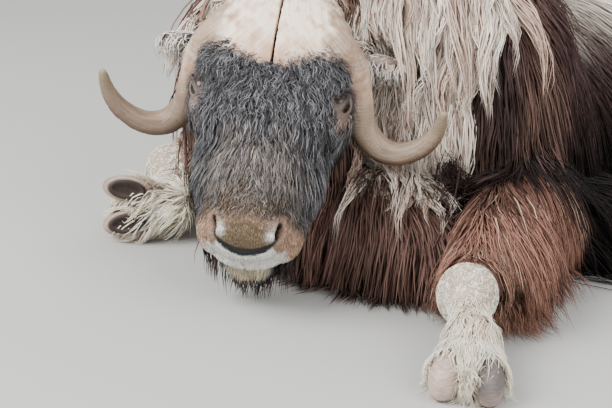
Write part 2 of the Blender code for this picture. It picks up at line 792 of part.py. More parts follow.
def head_locks(body, avoid, draw):
    """The forehead's woolly locks, and the beard along the jaws."""
    own = tree_of(body)
    locks = new_collection("locks of " + body.name)
    for y, count in FORELOCK_ROWS:
        for i in range(count):
            x = (i - (count - 1) / 2) * FORELOCK_SPACING
            spot, normal = shoot(own, on_head(x, y, 0), head_way(x * 3, -0.1, 1), 0.4)
            flow = Vector(head_way(x * 4, -1, 0))
            lay_lock(own, avoid, spot, normal, hanging(flow * 4), FORELOCK_SIZE, draw, locks)
    for side in (-1, 1):
        for y, z in CHEEK_SPOTS:
            spot, normal = shoot(own, on_head(0, y, z), head_way(side, 0, 0), 0.4)
            lie = hanging(head_way(side * 0.2, -1, 0) * 0.7)
            lay_lock(own, avoid, spot, normal, lie, CHEEK_SIZE, draw, locks)
        for i in range(3):
            out = head_way(side * 0.8, 0, -0.6)
            spot, normal = shoot(own, on_head(0, -0.13 + 0.065 * i, -0.075), out, 0.4)
            lay_lock(own, avoid, spot, normal, hanging(head_way(0, 1, 0) * 0.1), BEARD_SIZE, draw, locks)
    for i in range(3):
        out = head_way(0.25 * (-1) ** i, 0, -1)
        spot, normal = shoot(own, on_head(0.02 * (-1) ** i, -0.18 + 0.06 * i, -0.09), out, 0.4)
        lay_lock(own, avoid, spot, normal, hanging(head_way(0, 1, 0) * 0.2), BEARD_SIZE, draw, locks)
    return locks


def forearm(name, leg):
    """The forearm's flesh, from the coat down to the wrist."""
    start, end = leg["elbow"], leg["wrist"]
    cuff = start.lerp(end, 0.84)
    masses = [
        ball(start, (0.10, 0.11, 0.12)),
        tube([start, start.lerp(end, 0.5), cuff], [0.095, 0.082, 0.066]),
        ball(cuff, (0.064,) * 3),
    ]
    return on_floor(fused(name, masses, 0.014, 6, 200))


def arm_locks(body, leg, avoid, draw):
    """The long hair of the forearm, which falls along it and off to each side."""
    own = tree_of(body)
    locks = new_collection("locks of " + body.name)
    start, end = leg["elbow"], leg["wrist"]
    along = (end - start).normalized()
    across = along.cross(UP).normalized()
    for row, lean in enumerate((80, 15, 145)):
        for i in range(2 - row % 2):
            share = 0.48 + 0.26 * (i + 0.5 * (row % 2))
            angle = math.radians(lean + draw.uniform(-6, 6))
            out = (across * math.cos(angle) + UP * math.sin(angle)).normalized()
            spot, normal = shoot(own, start.lerp(end, share), out, 0.4)
            if spot is not None:
                lay_lock(own, avoid, spot, normal, hanging(along * 0.9), ARM_SIZE, draw, locks)
    return locks


def hind_leg(side):
    """The hind foot that shows from under the flank's hair."""
    return {
        "wrist": spine(1.10, side * 0.36, 0.062),
        "fetlock": spine(0.93, side * 0.43, 0.060),
        "toe": spine_turn(0.9) @ Vector((side * 0.16, -1, 0)),
        "sole": Vector((0, 0, -1)),
    }


def tail_line():
    """Points down the middle of the short tail."""
    root = spine(TRUNK_LENGTH - 0.08, 0, 0.36)
    back = spine_turn(TRUNK_LENGTH) @ Vector((0, 1, 0))
    return [root + back * far - UP * low for far, low in ((0, 0), (0.08, 0.02), (0.11, 0.09), (0.11, 0.15))]


def tail_locks(body, avoid, draw):
    """The brush of hair on the tail."""
    own = tree_of(body)
    locks = new_collection("locks of " + body.name)
    back = spine_turn(TRUNK_LENGTH) @ Vector((0, 1, 0))
    for i, turn in enumerate((-50, 50)):
        out = Matrix.Rotation(math.radians(turn), 3, UP) @ back
        spot, normal = shoot(own, tail_line()[1] - UP * 0.03 * i, out, 0.3)
        lay_lock(own, avoid, spot, normal, hanging(Vector((0, 0, 0))), TAIL_SIZE, draw, locks)
    return locks


# Putting it together

COLOUR_OF = (
    ("horn", "horn"),
    ("eye", "eye"),
    ("forehoof", "hoof"),
    ("hindhoof", "hoof"),
    ("forefoot", "sock"),
    ("hindfoot", "sock"),
    ("head", "face"),
    ("ear", "face"),
    ("neck", "mane"),
)
SIDES = (("left", 1), ("right", -1))
CLAWS = (("outer", -1), ("inner", 1))
SHARP_ANGLE = math.radians(50)


def finish(obj):
    """Gives a node its own material, and smooth shading where it is rounded."""
    kind = next((colour for start, colour in COLOUR_OF if obj.name.startswith(start)), "coat")
    shade, rough = COLOURS[kind]
    material = bpy.data.materials.new(obj.name)
    material.use_nodes = True
    shader = material.node_tree.nodes["Principled BSDF"]
    shader.inputs["Base Color"].default_value = (*shade, 1)
    shader.inputs["Roughness"].default_value = rough
    shader.inputs["Metallic"].default_value = 0
    obj.data.name = obj.name
    obj.data.materials.clear()
    obj.data.materials.append(material)
    obj.data.shade_smooth()
    obj.data.set_sharp_from_angle(angle=SHARP_ANGLE)


def shift_to_middle(parts):
    """Moves all nodes so that the origin is on the floor under the whole animal's middle."""
    corners = [v.co for obj in parts for v in obj.data.vertices]
    lows = [min(c[i] for c in corners) for i in range(3)]
    highs = [max(c[i] for c in corners) for i in range(3)]
    shift = -Vector(((lows[0] + highs[0]) / 2, (lows[1] + highs[1]) / 2, lows[2]))
    for obj in parts:
        obj.data.transform(Matrix.Translation(shift))


def main():
    start_empty()
    draw = random.Random(COAT_SEED)

    # Trunk and neck in one skin, then parted by plane cuts
    flesh = on_floor(fused("flesh", trunk_masses() + neck_masses(), 0.024, 12, 1150))
    neck, rest = parted(flesh, NECK_PART, NECK_PART_WAY, ("neck", "rest"))
    rump_way = spine_turn(RUMP_AT) @ Vector((0, 1, 0))
    rump, torso = parted(rest, spine(RUMP_AT), rump_way, ("rump", "torso"))

    # Head, with what grows from it cut clear of its bare surface
    head = cut_clear(fused("head", head_masses(), 0.0085, 5, 1000), neck, torso)
    bare_head = tree_of(head)
    for _, side in SIDES:
        for lid in lids(side):
            head = boolean(head, lid, "UNION")
        head = boolean(head, nostril(bare_head, side), "DIFFERENCE")
    head = boolean(head, mouth_line(bare_head), "DIFFERENCE")
    head.name = "head"
    eyes = [eye("eye_" + word, side) for word, side in SIDES]
    head = cut_clear(head, *eyes)
    horns = [cut_clear(horn("horn_" + word, side), head, neck, torso) for word, side in SIDES]
    ears = [cut_clear(ear("ear_" + word, side), head, neck, torso, *horns) for word, side in SIDES]

    # Legs
    feet, claws, arms = [], [], []
    for (word, side), leg in zip(SIDES, (FORE_LEFT, FORE_RIGHT)):
        base = foot("forefoot_" + word, leg)
        hooves = [claw(f"forehoof_{word}_{place}", leg, way * side, [base]) for place, way in CLAWS]
        arms.append(cut_clear(forearm("foreleg_" + word, leg), torso, base, *hooves))
        feet.append(base)
        claws += hooves
    for word, side in SIDES:
        leg = hind_leg(side)
        base = cut_clear(foot("hindfoot_" + word, leg), torso, rump)
        hooves = [claw(f"hindhoof_{word}_{place}", leg, way * side, [base]) for place, way in CLAWS]
        feet.append(base)
        claws += [cut_clear(hoof, torso) for hoof in hooves]
    low = [*feet, *claws]
    end = tube(tail_line(), [0.032, 0.030, 0.025, 0.014], sides=1)
    end.name = "tail"
    end = cut_clear(end, rump)

    # Coat, from the front to the rear, each lock kept clear of the other nodes
    fixed = [*horns, *eyes, *ears, *low]
    head = coated(head, head_locks(head, tree_of(neck, torso, *fixed), draw))
    for i, leg in enumerate((FORE_LEFT, FORE_RIGHT)):
        arms[i] = coated(arms[i], arm_locks(arms[i], leg, tree_of(torso, neck, head, *fixed), draw))
    ground = tree_of(neck, torso, rump, head, *horns)
    neck = coated(neck, neck_locks(neck, ground, tree_of(head, torso, *arms, *fixed), draw))
    end = coated(end, tail_locks(end, tree_of(rump), draw))
    ground = tree_of(neck, torso, rump, *arms, *low, end)
    avoid = tree_of(neck, head, rump, *arms, *fixed, end)
    torso_locks = trunk_locks(torso, ground, avoid, 0.12, RUMP_AT, (*TRUNK_ROWS, HEM_ROW), draw)
    apron_locks(torso, ground, avoid, torso_locks, draw)
    torso = coated(torso, torso_locks)
    avoid = tree_of(torso, *low, end)
    rump_locks = trunk_locks(rump, ground, avoid, RUMP_AT + 0.02, TRUNK_LENGTH - 0.20, TRUNK_ROWS, draw)
    rump_end_locks(rump, ground, avoid, rump_locks, draw)
    rump = coated(rump, rump_locks)

    parts = [head, neck, torso, rump, end, *ears, *eyes, *horns, *arms, *feet, *claws]
    shift_to_middle(parts)
    animal = new_collection("muskox")
    for obj in parts:
        finish(obj)
        bpy.context.scene.collection.objects.unlink(obj)
        animal.objects.link(obj)


main()
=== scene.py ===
"""Looks of a muskox bull at rest: skin, coat, horns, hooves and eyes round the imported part.

Metres, +Z up. The animal faces -Y with its left side to +X, and lies on the floor at Z = 0.
"""

import math

import bmesh
import bpy
import numpy as np
from mathutils import Matrix, Vector
from mathutils.bvhtree import BVHTree
from mathutils.kdtree import KDTree


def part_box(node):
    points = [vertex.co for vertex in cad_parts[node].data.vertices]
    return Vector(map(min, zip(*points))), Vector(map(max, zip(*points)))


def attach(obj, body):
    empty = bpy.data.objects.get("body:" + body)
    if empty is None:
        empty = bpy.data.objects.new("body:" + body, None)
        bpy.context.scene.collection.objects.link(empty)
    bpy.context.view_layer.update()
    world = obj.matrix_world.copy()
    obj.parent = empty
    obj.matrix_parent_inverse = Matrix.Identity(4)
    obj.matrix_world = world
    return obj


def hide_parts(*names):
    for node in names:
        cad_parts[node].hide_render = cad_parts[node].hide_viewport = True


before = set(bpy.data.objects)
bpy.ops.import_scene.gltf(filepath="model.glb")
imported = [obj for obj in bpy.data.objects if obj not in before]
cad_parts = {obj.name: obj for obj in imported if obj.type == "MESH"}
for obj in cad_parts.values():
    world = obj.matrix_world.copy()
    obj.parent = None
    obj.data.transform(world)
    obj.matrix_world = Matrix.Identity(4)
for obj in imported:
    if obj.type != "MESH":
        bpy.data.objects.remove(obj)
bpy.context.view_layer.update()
bpy.ops.object.select_all(action="DESELECT")

# Driving sizes, the same as the part's own
TRUNK_LENGTH = 1.45
SPINE_BEND = math.radians(22)
BEND_START = 0.35
HUMP_TOP = 0.77
BACK_TOP = 0.56
CHEST_HALF_WIDTH = 0.33
EYE_RADIUS = 0.021
EYE_IN_HEAD = Vector((0.124, 0.008, 0.024))
HEAD_IN_CHEST = Vector((-0.08, 0.0, 0.355))
BRISKET_IN_CHEST = Vector((0.03, 0.05, 0))
HEAD_TURN = (
    Matrix.Rotation(math.radians(21), 3, "Z")
    @ Matrix.Rotation(math.radians(42), 3, "X")
    @ Matrix.Rotation(math.radians(2.5), 3, "Y")
)

UP = Vector((0, 0, 1))
SIDES = (("left", 1), ("right", -1))


def middle_of(node):
    low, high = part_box(node)
    return (low + high) / 2


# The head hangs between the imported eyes, and the rest of the body follows from the head
EYES_MIDDLE = (middle_of("eye_left") + middle_of("eye_right")) / 2
HEAD_AT = EYES_MIDDLE - HEAD_TURN @ Vector((0, EYE_IN_HEAD.y, EYE_IN_HEAD.z))
CHEST_ORIGIN = HEAD_AT - HEAD_IN_CHEST
HEAD = Matrix.Translation(HEAD_AT) @ HEAD_TURN.to_4x4()
BRISKET = CHEST_ORIGIN + BRISKET_IN_CHEST


def in_chest(x, y, z):
    """A point of the chest's frame, from which the legs are measured, in the row frame."""
    return CHEST_ORIGIN + Vector((x, y, z))


def on_head(x, y, z):
    """A point of the head's frame: x to its left, -y to the nose, z out of the forehead."""
    return HEAD @ Vector((x, y, z))


def head_way(x, y, z):
    return (HEAD_TURN @ Vector((x, y, z))).normalized()


# The bent spine, as points a centimetre apart

SPINE_STEP = 0.01


def spine_line():
    points, headings = [], []
    x, y = BRISKET.x, BRISKET.y
    for i in range(int(TRUNK_LENGTH / SPINE_STEP) + 2):
        share = max(0.0, i * SPINE_STEP - BEND_START) / (TRUNK_LENGTH - BEND_START)
        heading = SPINE_BEND * min(1.0, share * 1.25)
        points.append((x, y))
        headings.append(heading)
        x += math.sin(heading) * SPINE_STEP
        y += math.cos(heading) * SPINE_STEP
    return np.array(points), np.array(headings)


SPINE_POINTS, SPINE_HEADINGS = spine_line()


def spine(along, side=0.0, height=0.0):
    """A point by its place along the spine, its place to the left, and its height."""
    i = int(round(along / SPINE_STEP))
    x, y = SPINE_POINTS[i]
    heading = SPINE_HEADINGS[i]
    return Vector((x + math.cos(heading) * side, y - math.sin(heading) * side, height))


def spine_turn(along):
    return Matrix.Rotation(-SPINE_HEADINGS[int(round(along / SPINE_STEP))], 3, "Z")


# Modelling helpers: clay balls that are melted together


def only(*objects):
    bpy.ops.object.select_all(action="DESELECT")
    for obj in objects:
        obj.select_set(True)
    bpy.context.view_layer.objects.active = objects[0]


def ball(centre, radii, turn=None, detail=14):
    """One ellipsoid of clay."""
    bpy.ops.mesh.primitive_uv_sphere_add(
        segments=detail * 2,
        ring_count=detail,
        radius=1,
        location=centre,
        rotation=(turn or Matrix.Identity(3)).to_euler(),
        scale=radii,
    )
    return bpy.context.object


def beads(points, radii, detail=10):
    """A row of balls close enough to melt into one smooth tapering limb."""
    made = []
    for start, end, r0, r1 in zip(points, points[1:], radii, radii[1:]):
        count = max(1, int((end - start).length / (min(r0, r1) * 0.4)))
        for i in range(count):
            share = i / count
            radius = r0 + (r1 - r0) * share
            made.append(ball(start.lerp(end, share), (radius,) * 3, detail=detail))
    made.append(ball(points[-1], (radii[-1],) * 3, detail=detail))
    return made


def smooth_way(points, radii, per_span=4):
    """Points and radii on a smooth curve through the given ones."""
    way, sizes = [], []
    for i in range(len(points) - 1):
        p0, p1 = points[max(0, i - 1)], points[i]
        p2, p3 = points[i + 1], points[min(len(points) - 1, i + 2)]
        for j in range(per_span):
            t = j / per_span
            way.append(
                p1 * 1.0
                + (p2 - p0) * 0.5 * t
                + (p0 * 2 - p1 * 5 + p2 * 4 - p3) * 0.5 * t * t
                + (p1 * 3 - p0 - p2 * 3 + p3) * 0.5 * t * t * t
            )
            sizes.append(radii[i] + (radii[i + 1] - radii[i]) * t)
    return way + [points[-1]], sizes + [radii[-1]]


def apply_all(obj):
    only(obj)
    for modifier in list(obj.modifiers):
        bpy.ops.object.modifier_apply(modifier=modifier.name)
    return obj


def melted(name, balls, voxel, relax, faces=None):
    """Balls melted into one smooth closed skin."""
    only(*balls)
    bpy.ops.object.join()
    obj = bpy.context.object
    bpy.ops.object.transform_apply(location=True, rotation=True, scale=True)
    obj.name = name
    obj.data.name = name
    remesh = obj.modifiers.new("melt", "REMESH")
    remesh.mode = "VOXEL"
    remesh.voxel_size = voxel
    soften = obj.modifiers.new("soften", "SMOOTH")
    soften.factor = 0.5
    soften.iterations = relax
    apply_all(obj)
    if faces:
        thin = obj.modifiers.new("thin", "DECIMATE")
        thin.ratio = min(1.0, faces / (2 * len(obj.data.polygons)))
        apply_all(obj)
    return obj


def cut(obj, cutter, operation="DIFFERENCE"):
    """obj cut by, met with or joined to a closed helper, which goes away."""
    step = obj.modifiers.new("cut", "BOOLEAN")
    step.operation = operation
    step.solver = "MANIFOLD"
    step.object = cutter
    apply_all(obj)
    only(cutter)
    bpy.ops.object.delete()
    return obj


def coordinates(obj):
    co = np.empty(len(obj.data.vertices) * 3, np.float32)
    obj.data.vertices.foreach_get("co", co)
    return co.reshape(-1, 3).astype(float)


def set_coordinates(obj, co):
    obj.data.vertices.foreach_set("co", co.astype(np.float32).ravel())
    obj.data.update()


def normals_of(obj):
    out = np.empty(len(obj.data.vertices) * 3, np.float32)
    obj.data.vertex_normals.foreach_get("vector", out)
    return out.reshape(-1, 3).astype(float)


def ramp(value, low, high):
    """0 below low, 1 above high, and smooth between; low may be the larger."""
    t = np.clip((value - low) / (high - low), 0, 1)
    return t * t * (3 - 2 * t)


# Where a point is, in the animal's own terms


def to_head(points):
    inverse = np.array(HEAD.inverted())
    return points @ inverse[:3, :3].T + inverse[:3, 3]


def to_trunk(points):
    """Along the spine, to the left, and height, for every point."""
    flat = points[:, None, :2] - SPINE_POINTS[None, ::2, :]
    nearest = (flat**2).sum(-1).argmin(1)
    heading = SPINE_HEADINGS[::2][nearest]
    offset = flat[np.arange(len(points)), nearest]
    side = offset[:, 0] * np.cos(heading) - offset[:, 1] * np.sin(heading)
    ahead = offset[:, 0] * np.sin(heading) + offset[:, 1] * np.cos(heading)
    return nearest * SPINE_STEP * 2 + ahead, side, points[:, 2]


# Flesh


def head_ball(centre, radii, detail=16):
    return ball(on_head(*centre), radii, HEAD_TURN, detail)


def trunk_ball(along, side, height, radii):
    return ball(spine(along, side, height), radii, spine_turn(along))


TRUNK_INSET = 0.022  # the coat's core in the part's trunk, which is hair here


def trunk_flesh():
    """The trunk and neck with the folded thighs, inside the coat."""
    width = CHEST_HALF_WIDTH
    nape = on_head(0, 0.19, -0.02)
    shoulder = spine(0.30, 0, 0.52)
    throat = on_head(-0.01, 0.12, -0.15)
    shapes = [
        (spine(0.16, 0, 0.095), (0.27, 0.16, 0.125), 0.16),
        (spine(0.46, 0, 0.27), (width, 0.31, 0.30), 0.46),
        (spine(0.43, 0, HUMP_TOP - 0.26), (0.21, 0.28, 0.26), 0.43),
        (spine(0.80, 0, BACK_TOP - 0.31), (width, 0.44, 0.31), 0.80),
        (spine(0.52, 0, 0.10), (width + 0.05, 0.44, 0.13), 0.52),
        (spine(0.92, 0, 0.10), (width + 0.05, 0.46, 0.13), 0.92),
        (spine(1.08, 0, BACK_TOP - 0.29), (0.28, 0.33, 0.27), 1.08),
        (spine(1.25, 0, 0.24), (0.25, 0.20, 0.23), 1.25),
        (nape, (0.12, 0.12, 0.14), 0),
        (nape.lerp(shoulder, 0.5) + Vector((-0.02, 0.01, 0)), (0.14, 0.14, 0.20), 0),
        (shoulder, (0.20, 0.16, 0.22), 0),
        (throat.lerp(spine(0.10, 0, 0.18), 0.4), (0.12, 0.12, 0.16), 0),
        (in_chest(-0.272, 0.125, 0.43), (0.075, 0.095, 0.145), 0),
    ]
    for _, side in SIDES:
        shapes.append((spine(0.35, side * 0.20, 0.34), (0.12, 0.17, 0.27), 0.35))
        shapes.append((spine(1.12, side * 0.20, 0.19), (0.16, 0.27, 0.20), 1.12))
        shapes.append((spine(0.30, side * 0.15, 0.38), (0.12, 0.12, 0.26), 0))
    balls = []
    for centre, radii, along in shapes:
        inner = tuple(r - TRUNK_INSET for r in radii)
        balls.append(ball(centre, inner, spine_turn(along)))
    return melted("trunk", balls, 0.014, 10, 26000)


def head_flesh():
    """Skull, brow, nose, jaw, cheeks and lids."""
    balls = [
        head_ball((0, 0.09, -0.015), (0.112, 0.157, 0.097)),
        head_ball((0, -0.01, 0.008), (0.118, 0.116, 0.082)),
        head_ball((0, -0.125, -0.012), (0.078, 0.14, 0.072)),
        head_ball((0, -0.212, -0.046), (0.082, 0.074, 0.074)),
        head_ball((0, -0.254, -0.040), (0.070, 0.036, 0.050)),
        head_ball((0, -0.246, -0.084), (0.068, 0.041, 0.036)),
        head_ball((0, -0.228, -0.122), (0.056, 0.054, 0.032)),
        head_ball((0, -0.10, -0.098), (0.066, 0.16, 0.056)),
        head_ball((0, 0.08, -0.12), (0.070, 0.13, 0.070)),
    ]
    for _, side in SIDES:
        balls.append(head_ball((side * 0.100, 0.006, -0.002), (0.046, 0.062, 0.050)))
        balls.append(head_ball((side * 0.080, 0.045, -0.080), (0.046, 0.100, 0.076)))
        balls.append(head_ball((side * 0.060, -0.222, -0.070), (0.036, 0.048, 0.038)))
        balls.append(head_ball((side * 0.066, -0.100, -0.045), (0.040, 0.105, 0.055)))
        balls.append(head_ball((side * 0.064, 0.044, 0.055), (0.064, 0.050, 0.038)))
        balls += lid_balls(side)
    return melted("head_skin", balls, 0.0036, 5)


def eye_centre(side):
    return on_head(side * EYE_IN_HEAD.x, EYE_IN_HEAD.y, EYE_IN_HEAD.z)


def eye_axes(side):
    """Out of the eye, along its slit to the front, and up across it."""
    out = head_way(side * 0.86, -0.46, 0.20)
    along = head_way(side * -0.25, -0.95, -0.10)
    along = (along - out * along.dot(out)).normalized()
    return out, along, out.cross(along) * side


def lid_balls(side):
    """The thick folded lids round the eyeball, and a wrinkle above them."""
    out, along, lift = eye_axes(side)
    made = []
    for rise_most, reach, radius in ((0.52, 0.0015, 0.0052), (-0.62, 0.0015, 0.0052), (0.95, 0.006, 0.0045)):
        points = []
        for i in range(9):
            swing = math.radians(-84 + 21 * i)
            rise = rise_most * math.cos(swing)
            forward = math.cos(swing) * math.sqrt(max(0.0, 1 - rise * rise))
            place = along * math.sin(swing) + lift * rise + out * forward
            points.append(eye_centre(side) + place.normalized() * (EYE_RADIUS + reach))
        made += beads(points, [radius] * 9, detail=8)
    return made


FORE_LEFT = {
    "elbow": in_chest(0.29, 0.34, 0.160),
    "wrist": in_chest(0.347, -0.022, 0.102),
    "fetlock": in_chest(0.400, -0.118, 0.062),
    "toe": Vector((0.34, -0.94, 0.0)),
    "sole": Vector((0, 0, -1)),
}
FORE_RIGHT = {
    "elbow": in_chest(-0.26, 0.47, 0.150),
    "wrist": in_chest(-0.462, 0.258, 0.098),
    "fetlock": in_chest(-0.378, 0.136, 0.068),
    "toe": Vector((-0.86, -0.50, -0.06)),
    "sole": Vector((0.46, -0.84, 0.25)),
}


def hind(side):
    return {
        "wrist": spine(1.10, side * 0.36, 0.062),
        "fetlock": spine(0.93, side * 0.43, 0.060),
        "toe": spine_turn(0.9) @ Vector((side * 0.16, -1, 0)),
        "sole": Vector((0, 0, -1)),
    }


LEGS = {
    "forefoot_left": FORE_LEFT,
    "forefoot_right": FORE_RIGHT,
    "hindfoot_left": hind(1),
    "hindfoot_right": hind(-1),
}
WRIST_RADIUS = 0.054
CANNON_RADIUS = 0.034
FETLOCK_RADIUS = 0.044
CLAW_LENGTH = 0.105
CLAW_WIDTH = 0.054
CLAW_HEIGHT = 0.066
CLAW_SPREAD = 0.034
SOLE_DROP = 0.062


def foot_axes(leg):
    toe = leg["toe"].normalized()
    top = -leg["sole"]
    top = (top - toe * top.dot(toe)).normalized()
    return Matrix((toe.cross(top), toe, top)).transposed()


def foot_flesh(name, leg):
    """Wrist or hock, cannon, fetlock, pastern and the two dew claws behind it."""
    axes = foot_axes(leg)
    across, toe, top = axes.col[0], axes.col[1], axes.col[2]
    wrist, knuckle = leg["wrist"], leg["fetlock"]
    balls = [
        ball(wrist, (WRIST_RADIUS, WRIST_RADIUS, WRIST_RADIUS * 1.04)),
        ball(knuckle, (FETLOCK_RADIUS * 0.95,) * 3),
        ball(knuckle + toe * 0.046 - top * 0.016, (0.052, 0.045, 0.034), axes),
    ]
    balls += beads(
        [wrist, wrist.lerp(knuckle, 0.55), knuckle],
        [WRIST_RADIUS * 0.8, CANNON_RADIUS, FETLOCK_RADIUS * 0.8],
    )
    for side in (-1, 1):
        balls.append(ball(knuckle - toe * 0.026 - top * 0.030 + across * side * 0.018, (0.010, 0.016, 0.012), axes))
    return melted(name, balls, 0.0055, 4)


def arm_flesh(name, leg):
    start, end = leg["elbow"], leg["wrist"]
    cuff = start.lerp(end, 0.9)
    balls = [ball(start, (0.09, 0.10, 0.11))]
    balls += beads([start, start.lerp(end, 0.5), cuff], [0.086, 0.070, 0.050])
    return melted(name, balls, 0.010, 5)


def tail_flesh():
    root = spine(TRUNK_LENGTH - 0.08, 0, 0.36)
    back = spine_turn(TRUNK_LENGTH) @ Vector((0, 1, 0))
    points = [root + back * far - UP * low for far, low in ((0, 0), (0.08, 0.02), (0.11, 0.09), (0.11, 0.14))]
    return melted("tail_skin", beads(points, [0.030, 0.027, 0.021, 0.010]), 0.008, 3)


def ear_flesh(side):
    """A pointed ear with an open cup."""
    out = head_way(side * 0.96, 0.02, 0.10)
    front = head_way(side * 0.10, -0.90, -0.3)
    front = (front - out * front.dot(out)).normalized()
    axes = Matrix((out, front, out.cross(front))).transposed()
    root = on_head(side * 0.10, 0.122, -0.012)
    shell = melted("ear_skin", [ball(root + out * 0.060, (0.070, 0.016, 0.030), axes)], 0.0035, 2)
    scoop = ball(root + out * 0.076 + front * 0.013, (0.046, 0.012, 0.021), axes)
    return cut(shell, scoop)


def floor_block(height=0.0):
    bpy.ops.mesh.primitive_cube_add(size=1, location=(0, 0, height - 0.5), scale=(6, 6, 1))
    bpy.ops.object.transform_apply(location=True, rotation=True, scale=True)
    return bpy.context.object


def build_skin():
    """All flesh as one closed skin, and which limb or mass each face came from."""
    masses = {"trunk": trunk_flesh(), "head": head_flesh(), "tail": tail_flesh()}
    masses["arm_left"] = arm_flesh("arm_left", FORE_LEFT)
    masses["arm_right"] = arm_flesh("arm_right", FORE_RIGHT)
    for name, leg in LEGS.items():
        masses[name] = foot_flesh(name, leg)
    for word, side in SIDES:
        masses["ear_" + word] = ear_flesh(side)
    graph = bpy.context.evaluated_depsgraph_get()
    trees = [BVHTree.FromObject(mass, graph) for mass in masses.values()]
    names = list(masses)
    skin = masses.pop("trunk")
    for mass in masses.values():
        cut(skin, mass, "UNION")
    cut(skin, floor_block())
    skin.name = skin.data.name = "skin"
    only(skin)
    bpy.ops.object.mode_set(mode="EDIT")
    bpy.ops.mesh.select_all(action="SELECT")
    bpy.ops.mesh.quads_convert_to_tris()
    bpy.ops.object.mode_set(mode="OBJECT")
    region = np.zeros(len(skin.data.polygons), int)
    for i, face in enumerate(skin.data.polygons):
        gaps = [tree.find_nearest(face.center)[3] for tree in trees]
        region[i] = int(np.argmin(gaps))
    return skin, region, names


# Horns

HORN_LINE = (
    ((0.075, 0.105, 0.072), 0.041),
    ((0.106, 0.098, 0.060), 0.041),
    ((0.134, 0.084, 0.024), 0.036),
    ((0.152, 0.064, -0.030), 0.030),
    ((0.168, 0.036, -0.082), 0.027),
    ((0.202, 0.012, -0.110), 0.025),
    ((0.243, 0.000, -0.104), 0.022),
    ((0.284, 0.003, -0.074), 0.0185),
    ((0.306, 0.012, -0.036), 0.0145),
    ((0.314, 0.022, 0.010), 0.0085),
)
BOSS_GROOVE = 0.003
BOSS_TURN_AT = (0.165, 0.165)  # the grain of the boss runs round this point, out into the horn


def horn_way(side):
    points = [Vector((side * x, y, z)) for (x, y, z), _ in HORN_LINE]
    return smooth_way(points, [radius for _, radius in HORN_LINE], 8)


BOSS_CREAM = np.array([0.95, 0.80, 0.64])
BOSS_PINK = np.array([0.62, 0.38, 0.26])
BOSS_BROWN = np.array([0.22, 0.13, 0.08])
SHAFT_PALE = np.array([0.36, 0.27, 0.195])
SHAFT_BROWN = np.array([0.135, 0.078, 0.050])
TIP_TAN = np.array([0.27, 0.205, 0.135])


def horn_tint(local, along, around, side):
    """Ivory boss, pinker at its lower edge and brown at its outer one, and a two-toned shaft."""
    patch = ripple(local, 0.022, 61) + 0.6 * ripple(local, 0.009, 62)
    tint = np.repeat(BOSS_CREAM[None], len(local), 0)
    tint += (BOSS_PINK * 1.2 - tint) * np.clip(0.45 * patch, 0, 0.5)[:, None]
    edge = ramp(local[:, 1], 0.105, 0.045) + 0.45 * patch
    tint += (BOSS_PINK - tint) * np.clip(edge * 0.75, 0, 1)[:, None]
    outer = ramp(np.abs(local[:, 0]) + 0.012 * patch, 0.072, 0.108) * ramp(along, 0.35, 0.15)
    tint += (BOSS_BROWN - tint) * (outer * 0.75)[:, None]
    pale = ramp(np.sin(around), -0.3, 0.7) * (0.55 if side < 0 else 1.0)
    shaft = SHAFT_BROWN + (SHAFT_PALE - SHAFT_BROWN) * pale[:, None]
    tint += (shaft - tint) * ramp(along, 0.22, 0.42)[:, None]
    return tint + (TIP_TAN - tint) * (ramp(along, 0.80, 0.97) * 0.8)[:, None]


def build_horn(word, side):
    """A horn with its half of the boss, and the run of its fibres as an attribute."""
    way, radii = horn_way(side)
    balls = beads([on_head(*p) for p in way], radii, detail=10)
    balls += [
        head_ball((side * 0.030, 0.118, 0.078), (0.085, 0.095, 0.040)),
        head_ball((side * 0.086, 0.104, 0.066), (0.050, 0.070, 0.038)),
        head_ball((side * 0.035, 0.160, 0.062), (0.080, 0.062, 0.040)),
    ]
    horn = melted("horn_" + word, balls, 0.0034, 6)
    bpy.ops.mesh.primitive_cube_add(size=1, location=on_head(side * (BOSS_GROOVE - 0.5), 0, 0),
                                    rotation=HEAD_TURN.to_euler())
    bpy.ops.object.transform_apply(location=True, rotation=True, scale=True)
    cut(horn, bpy.context.object)
    horn.name = horn.data.name = "horn_piece_" + word
    local = to_head(coordinates(horn))
    line = np.array([tuple(p) for p in way])
    nearest = ((local[:, None, :] - line[None]) ** 2).sum(-1).argmin(1)
    along = nearest / (len(way) - 1)
    offset = local - line[nearest]
    around = np.arctan2(offset[:, 2], offset[:, 1])
    ring = np.hypot(np.abs(local[:, 0]) - BOSS_TURN_AT[0], local[:, 1] - BOSS_TURN_AT[1])
    turn = np.arctan2(local[:, 1] - BOSS_TURN_AT[1], np.abs(local[:, 0]) - BOSS_TURN_AT[0])
    on_shaft = ramp(along, 0.12, 0.32)
    across = ring * 10 * (1 - on_shaft) + (1.5 + np.sin(around) * 0.25) * on_shaft
    grain = np.stack([across, turn * 0.12 * (1 - on_shaft) + along * on_shaft, np.cos(around) * 0.25 * on_shaft], 1)
    write_vectors(horn, "Grain", grain)
    write_colours(horn, "Tint", horn_tint(local, along, around, side))
    fibres = np.sin(across * 95 + 3 * np.sin(across * 31)) * 0.0011 + ripple(local, 0.010, 63) * 0.0010
    side_ridges = 0.35 + 0.65 * ramp(ring, 0.20, 0.12) * (1 - on_shaft)
    co = coordinates(horn) + normals_of(horn) * (fibres * side_ridges)[:, None]
    set_coordinates(horn, co)
    return horn


def write_values(obj, name, values):
    attribute = obj.data.attributes.new(name, "FLOAT", "POINT")
    attribute.data.foreach_set("value", np.asarray(values, np.float32).ravel())


def write_vectors(obj, name, values):
    attribute = obj.data.attributes.new(name, "FLOAT_VECTOR", "POINT")
    attribute.data.foreach_set("vector", np.asarray(values, np.float32).ravel())


def write_colours(obj, name, colours):
    attribute = obj.data.attributes.new(name, "FLOAT_COLOR", "POINT")
    rgba = np.ones((len(colours), 4), np.float32)
    rgba[:, :3] = colours
    attribute.data.foreach_set("color", rgba.ravel())


